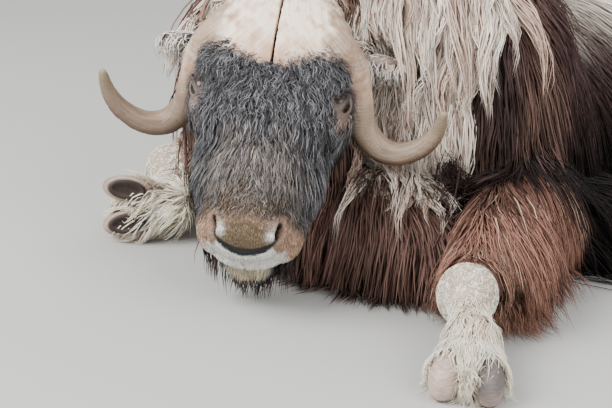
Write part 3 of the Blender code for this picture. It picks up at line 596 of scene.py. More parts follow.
# Hooves and eyes


HOOF_CREAM = np.array([0.62, 0.46, 0.38])
HOOF_SLATE = np.array([0.060, 0.058, 0.064])
HOOF_BROWN = np.array([0.15, 0.095, 0.065])
SOLE_BROWN = np.array([0.030, 0.019, 0.014])


def hoof_tint(points, height, leg, side):
    """Cream wall, slate on some claws, and a dark sole inside its pale rim."""
    rise = ramp(height + 0.010 * ripple(points, 0.03, 64), 0.006, 0.040)[:, None]
    dark = HOOF_SLATE if leg is FORE_LEFT else HOOF_BROWN
    share = 0.25 if leg is FORE_LEFT and side > 0 else 0.88
    tint = HOOF_CREAM + (dark - HOOF_CREAM) * (0.4 + 0.6 * rise) * share
    sole = ramp(height, 0.0060, 0.0045)
    return tint + (SOLE_BROWN - tint) * sole[:, None]


def build_hoof(name, leg, side):
    """One claw: rounded wall with growth rings, and an inset sole."""
    axes = foot_axes(leg)
    across, toe, top = axes.col[0], axes.col[1], axes.col[2]
    splay = Matrix.Rotation(math.radians(-8 * side), 3, top) @ axes
    centre = leg["fetlock"] + toe * 0.082 - top * 0.032 + across * side * CLAW_SPREAD
    hoof = ball(centre, (CLAW_WIDTH / 2, CLAW_LENGTH / 2, CLAW_HEIGHT * 0.6), splay, 28)
    bpy.ops.object.transform_apply(location=True, rotation=True, scale=True)
    hoof.name = hoof.data.name = name
    bpy.ops.object.mode_set(mode="EDIT")
    bpy.ops.mesh.select_all(action="SELECT")
    bpy.ops.mesh.bisect(
        plane_co=leg["fetlock"] - top * (SOLE_DROP - 0.0005),
        plane_no=top,
        use_fill=True,
        clear_inner=True,
    )
    bpy.ops.mesh.inset(thickness=0.005, depth=0)
    bpy.ops.mesh.inset(thickness=0.003, depth=-0.003)
    bpy.ops.object.mode_set(mode="OBJECT")
    sole = [face.index for face in hoof.data.polygons if face.select]
    co = coordinates(hoof)
    low = leg["fetlock"] - top * SOLE_DROP
    height = (co - np.array(low)) @ np.array(top)
    forward = (co - np.array(centre)) @ np.array(toe)
    rings = np.sin((height + forward * 0.25) * 950) * 0.00035 * ramp(height, 0.004, 0.010)
    co += normals_of(hoof) * rings[:, None]
    co[:, 2] = np.maximum(co[:, 2], 0.0)
    set_coordinates(hoof, co)
    write_colours(hoof, "Tint", hoof_tint(co, height, leg, side))
    write_vectors(hoof, "Grain", np.stack([height, (co - np.array(centre)) @ np.array(across), forward], 1))
    for face in hoof.data.polygons:
        face.material_index = 0
    for index in sole:
        hoof.data.polygons[index].material_index = 1
    return hoof


EYE_WHITE = np.array([0.05, 0.032, 0.026])
EYE_BROWN = np.array([0.045, 0.022, 0.010])
EYE_BLACK = np.array([0.003, 0.003, 0.004])


def build_eye(word, side):
    eye = ball(eye_centre(side), (EYE_RADIUS,) * 3, detail=24)
    bpy.ops.object.transform_apply(location=True, rotation=True, scale=True)
    eye.name = eye.data.name = "eyeball_" + word
    out, _, _ = eye_axes(side)
    co = coordinates(eye)
    ways = (co - np.array(eye_centre(side))) / EYE_RADIUS
    facing = ways @ np.array(out)
    co += ways * (ramp(facing, 0.72, 1.0) * 0.0016)[:, None]
    set_coordinates(eye, co)
    iris, pupil = ramp(facing, 0.70, 0.78)[:, None], ramp(facing, 0.90, 0.93)[:, None]
    tint = EYE_WHITE + (EYE_BROWN - EYE_WHITE) * iris
    write_colours(eye, "Tint", tint + (EYE_BLACK - tint) * pupil)
    write_vectors(eye, "Grain", ways)
    return eye


# Materials

def plain_material(name, colour, roughness):
    material = bpy.data.materials.new(name)
    material.use_nodes = True
    shader = material.node_tree.nodes["Principled BSDF"]
    shader.inputs["Base Color"].default_value = (*colour, 1)
    shader.inputs["Roughness"].default_value = roughness
    return material


def give(obj, *materials):
    """Puts materials on an object, whose faces keep their own slots among them."""
    slots = np.empty(len(obj.data.polygons), np.int32)
    obj.data.polygons.foreach_get("material_index", slots)
    obj.data.materials.clear()
    for material in materials:
        obj.data.materials.append(material)
    obj.data.polygons.foreach_set("material_index", np.minimum(slots, len(materials) - 1))
    obj.data.shade_smooth()


# Stage

def build_stage():
    bpy.ops.mesh.primitive_plane_add(size=16, location=(0, 0, 0))
    floor = bpy.context.object
    floor.name = floor.data.name = "floor"
    give(floor, plain_material("pale_floor", (0.43, 0.43, 0.41), 0.9))
    world = bpy.data.worlds.new("studio")
    world.use_nodes = True
    world.node_tree.nodes["Background"].inputs[0].default_value = (0.98, 0.98, 1.0, 1)
    world.node_tree.nodes["Background"].inputs[1].default_value = 0.95
    bpy.context.scene.world = world
    for name, place, size, power in (
        ("key", (-1.6, -3.2, 2.9), 2.4, 330),
        ("fill", (3.2, -1.8, 2.4), 3.0, 135),
        ("back", (0.6, 3.4, 3.0), 3.0, 80),
    ):
        bpy.ops.object.light_add(type="AREA", location=place)
        light = bpy.context.object
        light.name = name
        light.data.size = size
        light.data.energy = power
        light.rotation_euler = (Vector((0, -0.3, 0.3)) - Vector(place)).to_track_quat("-Z", "Y").to_euler()


# The photo's viewpoint, from the perspective of the lying animal
VIEW_TURN = math.radians(28)
VIEW_DOWN = math.radians(18)
VIEW_ROLL = math.radians(4)
VIEW_FROM_HEAD = (0.078, -2.54, 1.0)  # to the camera's right, along its view, and over the floor
VIEW_LENS = 84.7


def build_camera():
    right = Vector((math.cos(VIEW_TURN), math.sin(VIEW_TURN), 0))
    depth = Vector((-math.sin(VIEW_TURN), math.cos(VIEW_TURN), 0))
    aim = depth * math.cos(VIEW_DOWN) - UP * math.sin(VIEW_DOWN)
    over = depth * math.sin(VIEW_DOWN) + UP * math.cos(VIEW_DOWN)
    rolled_right = right * math.cos(VIEW_ROLL) + over * math.sin(VIEW_ROLL)
    rolled_over = over * math.cos(VIEW_ROLL) - right * math.sin(VIEW_ROLL)
    aside, back, height = VIEW_FROM_HEAD
    place = Vector((HEAD_AT.x, HEAD_AT.y, 0)) + right * aside + depth * back + UP * height
    turn = Matrix((rolled_right, rolled_over, -aim)).transposed().to_4x4()
    data = bpy.data.cameras.new("camera")
    data.sensor_width = 36
    data.lens = VIEW_LENS
    camera = bpy.data.objects.new("camera", data)
    bpy.context.scene.collection.objects.link(camera)
    camera.matrix_world = Matrix.Translation(place) @ turn
    bpy.context.scene.camera = camera


# The coat: closed three-sided strands, combed over the skin in arrays

DOWN_WAY = np.array([0.0, 0.0, -1.0])
FLOOR_CLEAR = 0.003
PATCH = 0.003  # how wide a strand's patch is on the bake map


def unit(vectors):
    return vectors / np.maximum(np.linalg.norm(vectors, axis=-1, keepdims=True), 1e-9)


def along_surface(vectors, normals):
    return unit(vectors - normals * (vectors * normals).sum(-1, keepdims=True))


def ripple(points, size, seed):
    """Soft noise from -1 to 1 that varies over about that size."""
    draw = np.random.default_rng(seed)
    total = np.zeros(len(points))
    for _ in range(6):
        way = unit(draw.normal(size=3)) * draw.uniform(0.7, 1.6) * math.tau / size / 2
        total += np.sin(points @ way + draw.uniform(0, math.tau))
    return np.clip(total / 3.2, -1, 1)


class Skin:
    """The skin's triangles, its unwrap and a search tree, for planting and combing hair."""

    def __init__(self, obj, region, names, others):
        mesh = obj.data
        count = len(mesh.polygons)
        co = coordinates(obj)
        corner = np.empty(count * 3, np.int32)
        mesh.loops.foreach_get("vertex_index", corner)
        self.corner = corner.reshape(-1, 3)
        self.corners = co[self.corner]
        self.vertex_normals = normals_of(obj)
        uv = np.empty(count * 6, np.float32)
        mesh.uv_layers["OFBake"].data.foreach_get("uv", uv)
        self.uv = uv.reshape(-1, 3, 2)
        cross = np.cross(self.corners[:, 1] - self.corners[:, 0], self.corners[:, 2] - self.corners[:, 0])
        self.area = np.linalg.norm(cross, axis=1) / 2
        self.centre = self.corners.mean(1)
        self.facing = unit(cross)
        self.region = region
        self.names = names
        points, faces = [co], [self.corner]
        for other in others:
            other.data.calc_loop_triangles()
            triangles = np.array([t.vertices[:] for t in other.data.loop_triangles])
            faces.append(triangles + sum(len(p) for p in points))
            points.append(coordinates(other))
        self.tree = BVHTree.FromPolygons(np.concatenate(points).tolist(), np.concatenate(faces).tolist())

    def among(self, *names):
        """A mask of the faces that came from those masses."""
        chosen = [self.names.index(name) for name in names]
        return np.isin(self.region, chosen)

    def plant(self, weight, spacing, seed):
        """Roots strewn evenly over the faces, thinner where weight is below 1."""
        draw = np.random.default_rng(seed)
        share = self.area * weight
        total = np.cumsum(share)
        count = int(total[-1] / spacing**2)
        ticks = (np.arange(count) + draw.random(count)) / count * total[-1]
        pick = np.minimum(np.searchsorted(total, ticks), len(total) - 1)
        a, b = draw.random(count), draw.random(count)
        flip = a + b > 1
        a[flip], b[flip] = 1 - a[flip], 1 - b[flip]
        mix = np.stack([1 - a - b, a, b], 1)
        roots = (self.corners[pick] * mix[..., None]).sum(1)
        normals = unit((self.vertex_normals[self.corner[pick]] * mix[..., None]).sum(1))
        uv = (self.uv[pick] * mix[..., None]).sum(1)
        return roots, normals, uv, pick

    def nearest(self, points):
        """The closest place on the skin and its normal, for every point."""
        spots, ways = np.empty_like(points), np.empty_like(points)
        find = self.tree.find_nearest
        for i, point in enumerate(points.tolist()):
            spot, way, _, _ = find(point)
            spots[i] = spot
            ways[i] = way
        return spots, ways


def comb(skin, roots, normals, ways, length, lift, sag, rings, sink=0.004):
    """Walks every strand from its root along its way, over the skin, down to its tip."""
    paths = np.empty((len(roots), rings, 3))
    facing = np.empty_like(paths)
    paths[:, 0] = roots - normals * sink
    facing[:, 0] = normals
    heading = ways.copy()
    point = roots.copy()
    step = (length / (rings - 1))[:, None]
    for i in range(1, rings):
        share = i / (rings - 1)
        heading = unit(heading + DOWN_WAY * (sag * share)[:, None])
        point = point + heading * step
        spot, face = skin.nearest(point)
        gap = ((point - spot) * face).sum(-1)
        wanted = lift * (share**0.7)
        under = gap < wanted
        point[under] = (spot + face * wanted[:, None])[under]
        heading[under] = unit(heading + face * np.maximum(0, -(heading * face).sum(-1, keepdims=True)))[under]
        low = point[:, 2] < FLOOR_CLEAR
        point[low, 2] = FLOOR_CLEAR
        flat = heading.copy()
        flat[:, 2] = 0
        flat[:, :2] += face[:, :2] * 0.6
        heading[low] = unit(flat)[low]
        paths[:, i] = point
        facing[:, i] = unit(facing[:, i - 1] * 0.4 + face)
    return paths, facing


def gather(paths, per_lock, pull, seed):
    """Draws strands together into tapering locks, each round one of its own strands."""
    draw = np.random.default_rng(seed)
    count = len(paths)
    centres = draw.choice(count, max(1, count // per_lock), replace=False)
    tree = KDTree(len(centres))
    for k, c in enumerate(centres):
        tree.insert(paths[c, 0], k)
    tree.balance()
    lock = np.array([tree.find(p)[1] for p in paths[:, 0].tolist()])
    leader = paths[centres[lock]]
    share = np.linspace(0, 1, paths.shape[1])[None, :, None]
    pulls = (pull * draw.uniform(0.7, 1.0, count))[:, None, None]
    return paths + (leader - paths) * share**1.4 * pulls, lock


def wave(paths, facing, lock, size, turns, seed, own=0.35):
    """Bends locks from side to side, each strand nearly in step with its lock."""
    draw = np.random.default_rng(seed)
    phase = draw.uniform(0, math.tau, lock.max() + 1)[lock] + draw.normal(0, own, len(lock))
    pace = draw.uniform(0.75, 1.25, lock.max() + 1)[lock] * turns
    share = np.linspace(0, 1, paths.shape[1])[None, :]
    swing = np.sin(share * pace[:, None] * math.tau + phase[:, None]) - np.sin(phase[:, None])
    ahead = np.gradient(paths, axis=1)
    across = unit(np.cross(ahead, facing))
    reach = size * np.minimum(1, share * 3)
    return paths + across * (swing * reach)[..., None]


def curl(paths, facing, lock, size, turns, seed):
    """Winds strands into small loose curls."""
    paths = wave(paths, facing, lock, size, turns, seed, 0.6)
    draw = np.random.default_rng(seed + 1)
    phase = draw.uniform(0, math.tau, len(lock))
    share = np.linspace(0, 1, paths.shape[1])[None, :]
    bob = np.sin(share * turns * math.tau + phase[:, None]) - np.sin(phase[:, None])
    return paths + facing * (bob * size * 0.7 * np.minimum(1, share * 3))[..., None]


def strands(name, paths, facing, width, thick, tints, root_uv, seed, body=0.55):
    """One mesh of closed tapering strands. tints holds a root and a tip colour for each."""
    count, rings, _ = paths.shape
    draw = np.random.default_rng(seed)
    ahead = unit(np.gradient(paths, axis=1))
    across = unit(np.cross(ahead, facing))
    out = np.cross(across, ahead)
    share = np.linspace(0, 1, rings)
    taper = (body + (1 - body) * np.sin(np.pi * np.minimum(1, 0.15 + share))) * (1 - share**2.6)
    half = (width[:, None] * taper[None, :] / 2)[..., None]
    rise = (thick[:, None] * (1 - 0.6 * share)[None, :])[..., None]
    left, top, right = paths - across * half, paths + out * rise, paths + across * half
    body_rings = np.stack([left, top, right], 2)[:, :-1].reshape(count, -1, 3)
    verts = np.concatenate([body_rings, paths[:, -1:]], 1)
    verts[..., 2] = np.maximum(verts[..., 2], FLOOR_CLEAR / 2)
    per = verts.shape[1]
    faces = [(0, 1, 2)]
    for k in range(rings - 2):
        a, b = 3 * k, 3 * k + 3
        for j in range(3):
            n = (j + 1) % 3
            faces += [(a + j, b + j, b + n), (a + j, b + n, a + n)]
    last = 3 * (rings - 2)
    faces += [(last + j, per - 1, last + (j + 1) % 3) for j in range(3)]
    faces = np.array(faces)
    every = (faces[None] + (np.arange(count) * per)[:, None, None]).reshape(-1, 3)
    place = np.append(np.repeat(share[:-1], 3), 1.0)
    side = np.append(np.tile([0.0, 0.5, 1.0], rings - 1), 0.5)
    colour = tints[0][:, None] + (tints[1] - tints[0])[:, None] * (place**0.8)[None, :, None]
    patch = np.stack([side - 0.5, place - 0.5], 1) * PATCH
    uv = root_uv[:, None] + patch[None]
    length = np.linalg.norm(np.diff(paths, axis=1), axis=2).sum(1)
    grain = np.empty((count, per, 3))
    grain[..., 0] = side[None] * width[:, None] + draw.uniform(0, 9, count)[:, None]
    grain[..., 1] = place[None] * length[:, None]
    grain[..., 2] = draw.uniform(0, 9, count)[:, None]
    return mesh_from_arrays(name, verts.reshape(-1, 3), every, colour.reshape(-1, 3),
                            uv.reshape(-1, 2), grain.reshape(-1, 3))


def bundled(paths, facing, per, radius, seed):
    """Turns every leader's path into a clump of strands that hang together and part at the tip."""
    draw = np.random.default_rng(seed)
    rings = paths.shape[1]
    which = np.repeat(np.arange(len(paths)), per)
    leader, out = paths[which], facing[which]
    across = unit(np.cross(np.gradient(leader, axis=1), out))
    angle = draw.uniform(0, math.tau, len(which))
    reach = np.sqrt(draw.random(len(which))) * radius[which]
    share = np.linspace(0, 1, rings)[None]
    swell = (0.55 + 0.75 * np.sin(np.pi * np.minimum(1, share * 1.25))) * (1 - 0.75 * share**2)
    twist = angle[:, None] + draw.normal(0, 1.0, len(which))[:, None] * share
    aside = (np.cos(twist) * reach[:, None] * swell)[..., None]
    off = (np.sin(twist) * 0.6 * reach[:, None] * swell)[..., None]
    made = leader + across * aside + out * off
    cut = draw.uniform(0.6, 1.0, len(which))[:, None] * share * (rings - 1)
    low = np.minimum(cut.astype(int), rings - 2)
    part = (cut - low)[..., None]
    row = np.arange(len(which))[:, None]
    return made[row, low] * (1 - part) + made[row, low + 1] * part, out, which


def mesh_from_arrays(name, verts, faces, colours, uvs, grain):
    mesh = bpy.data.meshes.new(name)
    mesh.vertices.add(len(verts))
    mesh.vertices.foreach_set("co", verts.astype(np.float32).ravel())
    mesh.loops.add(faces.size)
    mesh.loops.foreach_set("vertex_index", faces.astype(np.int32).ravel())
    mesh.polygons.add(len(faces))
    mesh.polygons.foreach_set("loop_start", np.arange(0, faces.size, 3, dtype=np.int32))
    mesh.update(calc_edges=True)
    layer = mesh.uv_layers.new(name="OFBake")
    layer.data.foreach_set("uv", uvs[faces.ravel()].astype(np.float32).ravel())
    obj = bpy.data.objects.new(name, mesh)
    bpy.context.scene.collection.objects.link(obj)
    write_colours(obj, "Tint", colours)
    write_vectors(obj, "Grain", grain)
    mesh.shade_smooth()
    return obj


# Markings, in linear colours, shared by the skin and the coat

CHARCOAL = np.array([0.066, 0.065, 0.071])
GREY_STRAND = np.array([0.30, 0.295, 0.305])
TAUPE = np.array([0.185, 0.158, 0.138])
SNOUT_BROWN = np.array([0.150, 0.108, 0.082])
TAUPE_DARK = np.array([0.050, 0.040, 0.034])
RUST = np.array([0.38, 0.245, 0.170])
TAN = np.array([0.150, 0.105, 0.060])
LIP_WHITE = np.array([0.80, 0.77, 0.71])
BARE_DARK = np.array([0.006, 0.006, 0.006])
MOUTH_YELLOW = np.array([0.16, 0.13, 0.06])
CHIN_CREAM = np.array([0.56, 0.48, 0.34])
CHEEK_BLACK = np.array([0.016, 0.012, 0.012])
LID_PINK = np.array([0.48, 0.34, 0.28])
THROAT_RED = np.array([0.200, 0.112, 0.088])
FLANK_DARK = np.array([0.0125, 0.0085, 0.0085])
FLANK_RED = np.array([0.120, 0.068, 0.063])
ARM_RED = np.array([0.27, 0.135, 0.098])
BLONDE = np.array([0.62, 0.45, 0.32])
SADDLE_CREAM = np.array([0.74, 0.67, 0.57])
SOCK_CREAM = np.array([0.97, 0.82, 0.65])
SOCK_TAN = np.array([0.52, 0.35, 0.23])
WOOL_PALE = np.array([0.97, 0.81, 0.70])
WOOL_PINK = np.array([0.60, 0.43, 0.34])
# The wool's colour in shadow, used as painted shadow: on some wool strands, at the wool's roots and in streaks over
# the mane.
WOOL_SHADOW = np.array([0.20, 0.12, 0.09])

# Half of the bare band, from a nostril's top down to the middle of the nose, in the head's frame
NOSTRIL = (
    (0.0620, -0.240, 0.002),
    (0.0585, -0.250, -0.012),
    (0.0500, -0.266, -0.017),
    (0.0360, -0.279, -0.022),
    (0.0180, -0.286, -0.027),
    (0.0000, -0.288, -0.029),
)
BAND_HALF = ((0, 0.2, 0.4, 0.75, 1), (0.0062, 0.0060, 0.0044, 0.0085, 0.0115))
LIP_EDGE = ((0, 0.032, 0.050, 0.060, 0.075), (-0.034, -0.026, -0.020, -0.036, -0.052))
MOUTH_HEIGHT = -0.099
EYE_PATCH = (0.126, 0.002, 0.018)


def mixed(base, other, share):
    return base + (other - base) * np.clip(share, 0, 1)[:, None]


def mirrored(local):
    """The same places on the head's left side."""
    return np.stack([np.abs(local[:, 0]), local[:, 1], local[:, 2]], 1)


def band_line(local):
    """How far outside the bare band between the nostrils a place is, and how near its middle."""
    half = mirrored(local)
    best = np.full(len(local), 9.0)
    place = np.zeros(len(local))
    for k, (start, end) in enumerate(zip(NOSTRIL, NOSTRIL[1:])):
        start, end = np.array(start), np.array(end)
        way = end - start
        t = np.clip((half - start) @ way / (way @ way), 0, 1)
        gap = np.linalg.norm(half - start - t[:, None] * way, axis=1)
        closer = gap < best
        best[closer] = gap[closer]
        place[closer] = (k + t[closer]) / (len(NOSTRIL) - 1)
    return best - np.interp(place, *BAND_HALF), place


def on_muzzle(local):
    """1 on the muzzle, whose edge runs lower over the bridge than at the sides."""
    edge = -0.239 + 0.020 * ramp(np.abs(local[:, 0]), 0.030, 0.080)
    return ramp(local[:, 1] - edge, 0.008, -0.012)


def eye_patch(local):
    """1 in the bare skin round the eye, fading to 0 in the fur about it."""
    gap = (mirrored(local) - np.array(EYE_PATCH)) / [0.030, 0.042, 0.031]
    return ramp(np.linalg.norm(gap, axis=1), 1.05, 0.75)


def head_tint(local, points):
    """Colour of the head at places given in its own frame."""
    x, y, z = local[:, 0], local[:, 1], local[:, 2]
    side = np.abs(x)
    n = ripple(points, 0.05, 11)
    tint = np.repeat(CHARCOAL[None], len(local), 0)
    bridge = ramp(y + 0.02 * n, -0.05, -0.13) * ramp(side, 0.100, 0.060)
    tint = mixed(tint, TAUPE, bridge)
    tint = mixed(tint, SNOUT_BROWN, ramp(y + 0.02 * n, -0.175, -0.225) * ramp(side, 0.110, 0.070))
    cheek = ramp(z + 0.01 * n, -0.045, -0.085) * ramp(y, -0.20, -0.15)
    tint = mixed(tint, CHEEK_BLACK, cheek)
    muzzle = on_muzzle(local)
    tint = mixed(tint, RUST, muzzle)
    tint = mixed(tint, TAN, ramp(y, -0.240, -0.256) * ramp(side, 0.070, 0.045) * muzzle)
    line = np.interp(side, LIP_EDGE[0], LIP_EDGE[1])
    under = ramp(z - line, 0.002, -0.006) * ramp(side + 0.006 * n, 0.082, 0.062) * muzzle
    tint = mixed(tint, LIP_WHITE, under)
    blob = np.exp(-(((side - 0.046) / 0.009) ** 2 + ((y + 0.260) / 0.012) ** 2 + ((z + 0.002) / 0.010) ** 2))
    tint = mixed(tint, LIP_WHITE, blob)
    tint = mixed(tint, TAN * 1.25, ramp(np.abs(z + 0.026), 0.012, 0.004) * ramp(side, 0.026, 0.016) * muzzle * 0.7)
    mouth = np.abs(z - MOUTH_HEIGHT)
    tint = mixed(tint, MOUTH_YELLOW, ramp(mouth, 0.009, 0.003) * muzzle * 0.9)
    below = ramp(z, MOUTH_HEIGHT, MOUTH_HEIGHT - 0.008)
    tint = mixed(tint, CHIN_CREAM, below * muzzle * ramp(side, 0.050, 0.036))
    tint = mixed(tint, CHEEK_BLACK, ramp(z, -0.122, -0.136) + below * ramp(side, 0.036, 0.052))
    return mixed(tint, LID_PINK, eye_patch(local) * (0.75 + 0.25 * n))


def trunk_tint(points):
    along, side, height = to_trunk(points)
    streak = ripple(points * [1, 1, 0.35], 0.09, 21)
    red = ramp(height + 0.07 * streak, 0.37, 0.62)
    tint = mixed(np.repeat(FLANK_DARK[None], len(points), 0), FLANK_RED, red * 0.9)
    hem = ramp(height, 0.12, 0.04) * ramp(along, 0.30, 0.45)
    tint = mixed(tint, FLANK_RED, hem * 0.15)
    front = ramp(along, 0.26, 0.06)
    throat = front * ramp(height + 0.05 * streak, 0.0, 0.12)
    tint = mixed(tint, THROAT_RED, throat * (0.55 + 0.45 * ramp(streak, -0.6, 0.4)))
    # Streaks of the wool's painted shadow colour over the mane.
    mane = ramp(along, 0.36, 0.20) * ramp(height, 0.34, 0.44)
    tint = mixed(tint, WOOL_SHADOW, mane * ramp(streak, -0.5, 0.5) * 0.8)
    saddle = ramp(along, 0.44, 0.55) * ramp(along, 1.05, 0.92) * ramp(np.abs(side) + 0.04 * streak, 0.20, 0.12)
    return mixed(tint, SADDLE_CREAM, saddle * ramp(height, 0.38, 0.44))


def down_leg(points, leg):
    """Metres from the wrist down to the fetlock, for every point."""
    return (points - np.array(leg["wrist"])) @ np.array((leg["fetlock"] - leg["wrist"]).normalized())


def foot_tint(points, leg):
    """Cream sock, with rusty hair above the wrist."""
    n = ripple(points, 0.02, 31)
    tint = np.repeat(SOCK_CREAM[None], len(points), 0)
    return mixed(tint, SOCK_TAN, ramp(down_leg(points, leg), -0.020, -0.050) + 0.12 * n)


def arm_tint(points):
    n = ripple(points, 0.05, 41)
    tint = np.repeat(ARM_RED[None], len(points), 0)
    return mixed(tint, FLANK_DARK, ramp(n, 0.0, 0.9) * 0.8)


def markings(points, region, names):
    """The colour of skin and coat at places on the body, by the mass that they belong to."""
    tint = trunk_tint(points)
    local = to_head(points)
    for k, name in enumerate(names):
        mine = region == k
        if not mine.any():
            continue
        if name == "head":
            tint[mine] = head_tint(local[mine], points[mine])
        elif name in LEGS:
            tint[mine] = foot_tint(points[mine], LEGS[name])
        elif name.startswith("arm"):
            tint[mine] = arm_tint(points[mine])
        elif name.startswith("ear"):
            dark = np.repeat(TAUPE_DARK[None], mine.sum(), 0)
            tint[mine] = mixed(dark, WOOL_PINK, 0.5 + ripple(points[mine], 0.03, 51))
    return tint


def sprinkle(tint, spread, seed, fleck=None, fleck_share=0.0):
    """Each strand's own shade, with some of them in a second colour."""
    draw = np.random.default_rng(seed)
    tint = tint * np.exp(draw.normal(0, spread, (len(tint), 1)))
    if fleck is not None:
        chosen = (draw.random(len(tint)) < fleck_share) * draw.uniform(0.3, 1.0, len(tint))
        tint = mixed(tint, fleck, chosen)
    return np.clip(tint, 0, 0.97)


# Coat pieces


def head_lie(local, normals):
    """Down the face to the nose and outwards, up over the boss's edge, and down the cheeks."""
    x, y, z = local[:, 0], local[:, 1], local[:, 2]
    up = ramp(y, 0.035, 0.080)
    ahead = np.stack([x * (4.5 + 9 * up), 1.5 * up - 1.0, np.zeros(len(x))], 1)
    ahead = ahead @ np.array(HEAD_TURN).T
    low = ramp(z, 0.03, -0.05)[:, None]
    return along_surface(ahead * (1 - low * 0.75) + DOWN_WAY * (0.25 + 0.8 * low), normals)


def trunk_lie(points, normals):
    """To the rear along the back, falling off to each side and hanging down the flanks."""
    along, _, _ = to_trunk(points)
    index = np.clip((along / SPINE_STEP).astype(int), 0, len(SPINE_HEADINGS) - 1)
    heading = SPINE_HEADINGS[index]
    rearward = np.stack([np.sin(heading), np.cos(heading), np.zeros(len(points))], 1)
    up = np.maximum(0, normals[:, 2:3])
    flow = rearward * (0.35 + 0.7 * up) * ramp(along, 0.05, 0.35)[:, None]
    return along_surface(flow + DOWN_WAY * 0.9 + normals * [0.5, 0.5, 0], normals)


def grow(name, skin, weight, spacing, lie, length, lift, sag, tint, seed, *,
         width, sway=0.12, rings=6, pull=0.5, per_lock=9, bend=0.004, turns=1.1, sink=0.005, root_shade=0.6):
    """One coat piece. lie, length, lift, sag and tint are functions of the roots."""
    roots, normals, uv, _ = skin.plant(weight, spacing, seed)
    draw = np.random.default_rng(seed + 1)
    count = len(roots)
    ways = along_surface(unit(lie(roots, normals)) + draw.normal(0, sway, (count, 3)), normals)
    paths, facing = comb(skin, roots, normals, ways, length(roots) * draw.uniform(0.72, 1.2, count),
                         lift(roots) * draw.uniform(0.5, 1.35, count), sag(roots), rings, sink)
    paths, lock = gather(paths, per_lock, pull, seed + 2)
    paths = wave(paths, facing, lock, bend, turns, seed + 3)
    shade = np.random.default_rng(seed + 4).normal(0, 0.16, lock.max() + 1)[lock][:, None]
    colour = np.clip(tint(roots) * np.exp(shade), 0, 0.97)
    return strands(name, paths, facing, width * draw.uniform(0.6, 1.25, count),
                   np.full(count, width * 0.32), (colour * root_shade, np.clip(colour * 1.15, 0, 0.97)), uv, seed + 5)


def even(value):
    return lambda roots: np.full(len(roots), value)


def head_coat(skin):
    faces = skin.among("head") * (1.0 - 0.4 * eye_patch(to_head(skin.centre)))
    local = to_head(skin.centre)
    y, z = local[:, 1], local[:, 2]
    eyes_gap = np.linalg.norm(mirrored(local) - np.array(EYE_IN_HEAD), axis=1)
    clear = ramp(eyes_gap, 0.026, 0.034) * faces * (y < 0.16)
    muzzle = on_muzzle(local) > 0.5
    brow = clear * (z > -0.01) * (y > -0.060)
    beard = clear * (skin.facing @ DOWN_WAY > 0.35) * (y > -0.245) * (z < -0.09)
    nose = clear * muzzle * (beard == 0) * (skin.bare < 0.04)
    face = clear * (brow == 0) * (beard == 0) * ~muzzle

    def lie(roots, normals):
        return head_lie(to_head(roots), normals)

    def face_length(roots):
        spot = to_head(roots)
        reach = ramp(spot[:, 1], -0.235, -0.12)
        aside = ramp(np.abs(spot[:, 0]), 0.055, 0.090)
        return (0.014 + 0.026 * reach + 0.022 * aside * reach) * (1 - 0.6 * eye_patch(spot))

    def face_lift(roots):
        spot = to_head(roots)
        reach = ramp(spot[:, 1], -0.235, -0.12)
        aside = ramp(np.abs(spot[:, 0]), 0.055, 0.090)
        return (0.003 + 0.006 * reach + 0.012 * aside * reach) * (1 - 0.8 * eye_patch(spot))

    def chin(roots):
        return ramp(to_head(roots)[:, 2], MOUTH_HEIGHT, -0.125)

    def away(roots):
        gap, _ = band_line(to_head(roots))
        return 0.35 + 0.65 * ramp(gap, 0.003, 0.014)

    def fur_tint(share, seed, fleck, fleck_share):
        def tint(roots):
            spot = to_head(roots)
            flecks = fleck_share * (1 - eye_patch(spot)) * ramp(spot[:, 2], -0.10, -0.03)
            flecks = flecks * (0.35 + 0.65 * ramp(spot[:, 1], -0.220, -0.160))
            return sprinkle(head_tint(spot, roots), share, seed, fleck, flecks)
        return tint

    return [
        grow("coat_brow", skin, brow, 0.00375, lie,
             lambda roots: 0.034 * (1 - 0.6 * eye_patch(to_head(roots))),
             lambda roots: 0.013 * (1 - 0.8 * eye_patch(to_head(roots))), even(0.1),
             fur_tint(0.4, 105, GREY_STRAND, 0.42), 100, width=0.0024, sway=0.36, rings=6,
             pull=0.5, per_lock=11, bend=0.0030, turns=1.5),
        grow("coat_face", skin, face, 0.0043, lie, face_length, face_lift, even(0.25),
             fur_tint(0.38, 115, GREY_STRAND, 0.30), 110, width=0.0025, sway=0.24, rings=5,
             pull=0.5, per_lock=11, bend=0.0024, turns=1.1),
        grow("coat_muzzle", skin, nose, 0.0029, lie,
             lambda roots: 0.0075 * away(roots) + 0.020 * chin(roots),
             lambda roots: 0.0013 + 0.004 * chin(roots), lambda roots: 0.15 + chin(roots),
             fur_tint(0.13, 125, TAN, 0.0), 120, width=0.0019, sway=0.16, rings=4,
             pull=0.15, bend=0.0003, sink=0.001, root_shade=0.85),
        grow("coat_beard", skin, beard, 0.0072, lambda roots, normals: normals * 0.2 + DOWN_WAY,
             lambda roots: 0.070 + 0.075 * ramp(to_head(roots)[:, 1], -0.24, -0.16),
             even(0.022), even(1.6),
             lambda roots: sprinkle(np.repeat(CHEEK_BLACK[None] * 1.4, len(roots), 0), 0.4, 135, THROAT_RED, 0.25),
             130, width=0.0042, sway=0.2, pull=0.5, bend=0.004),
    ]


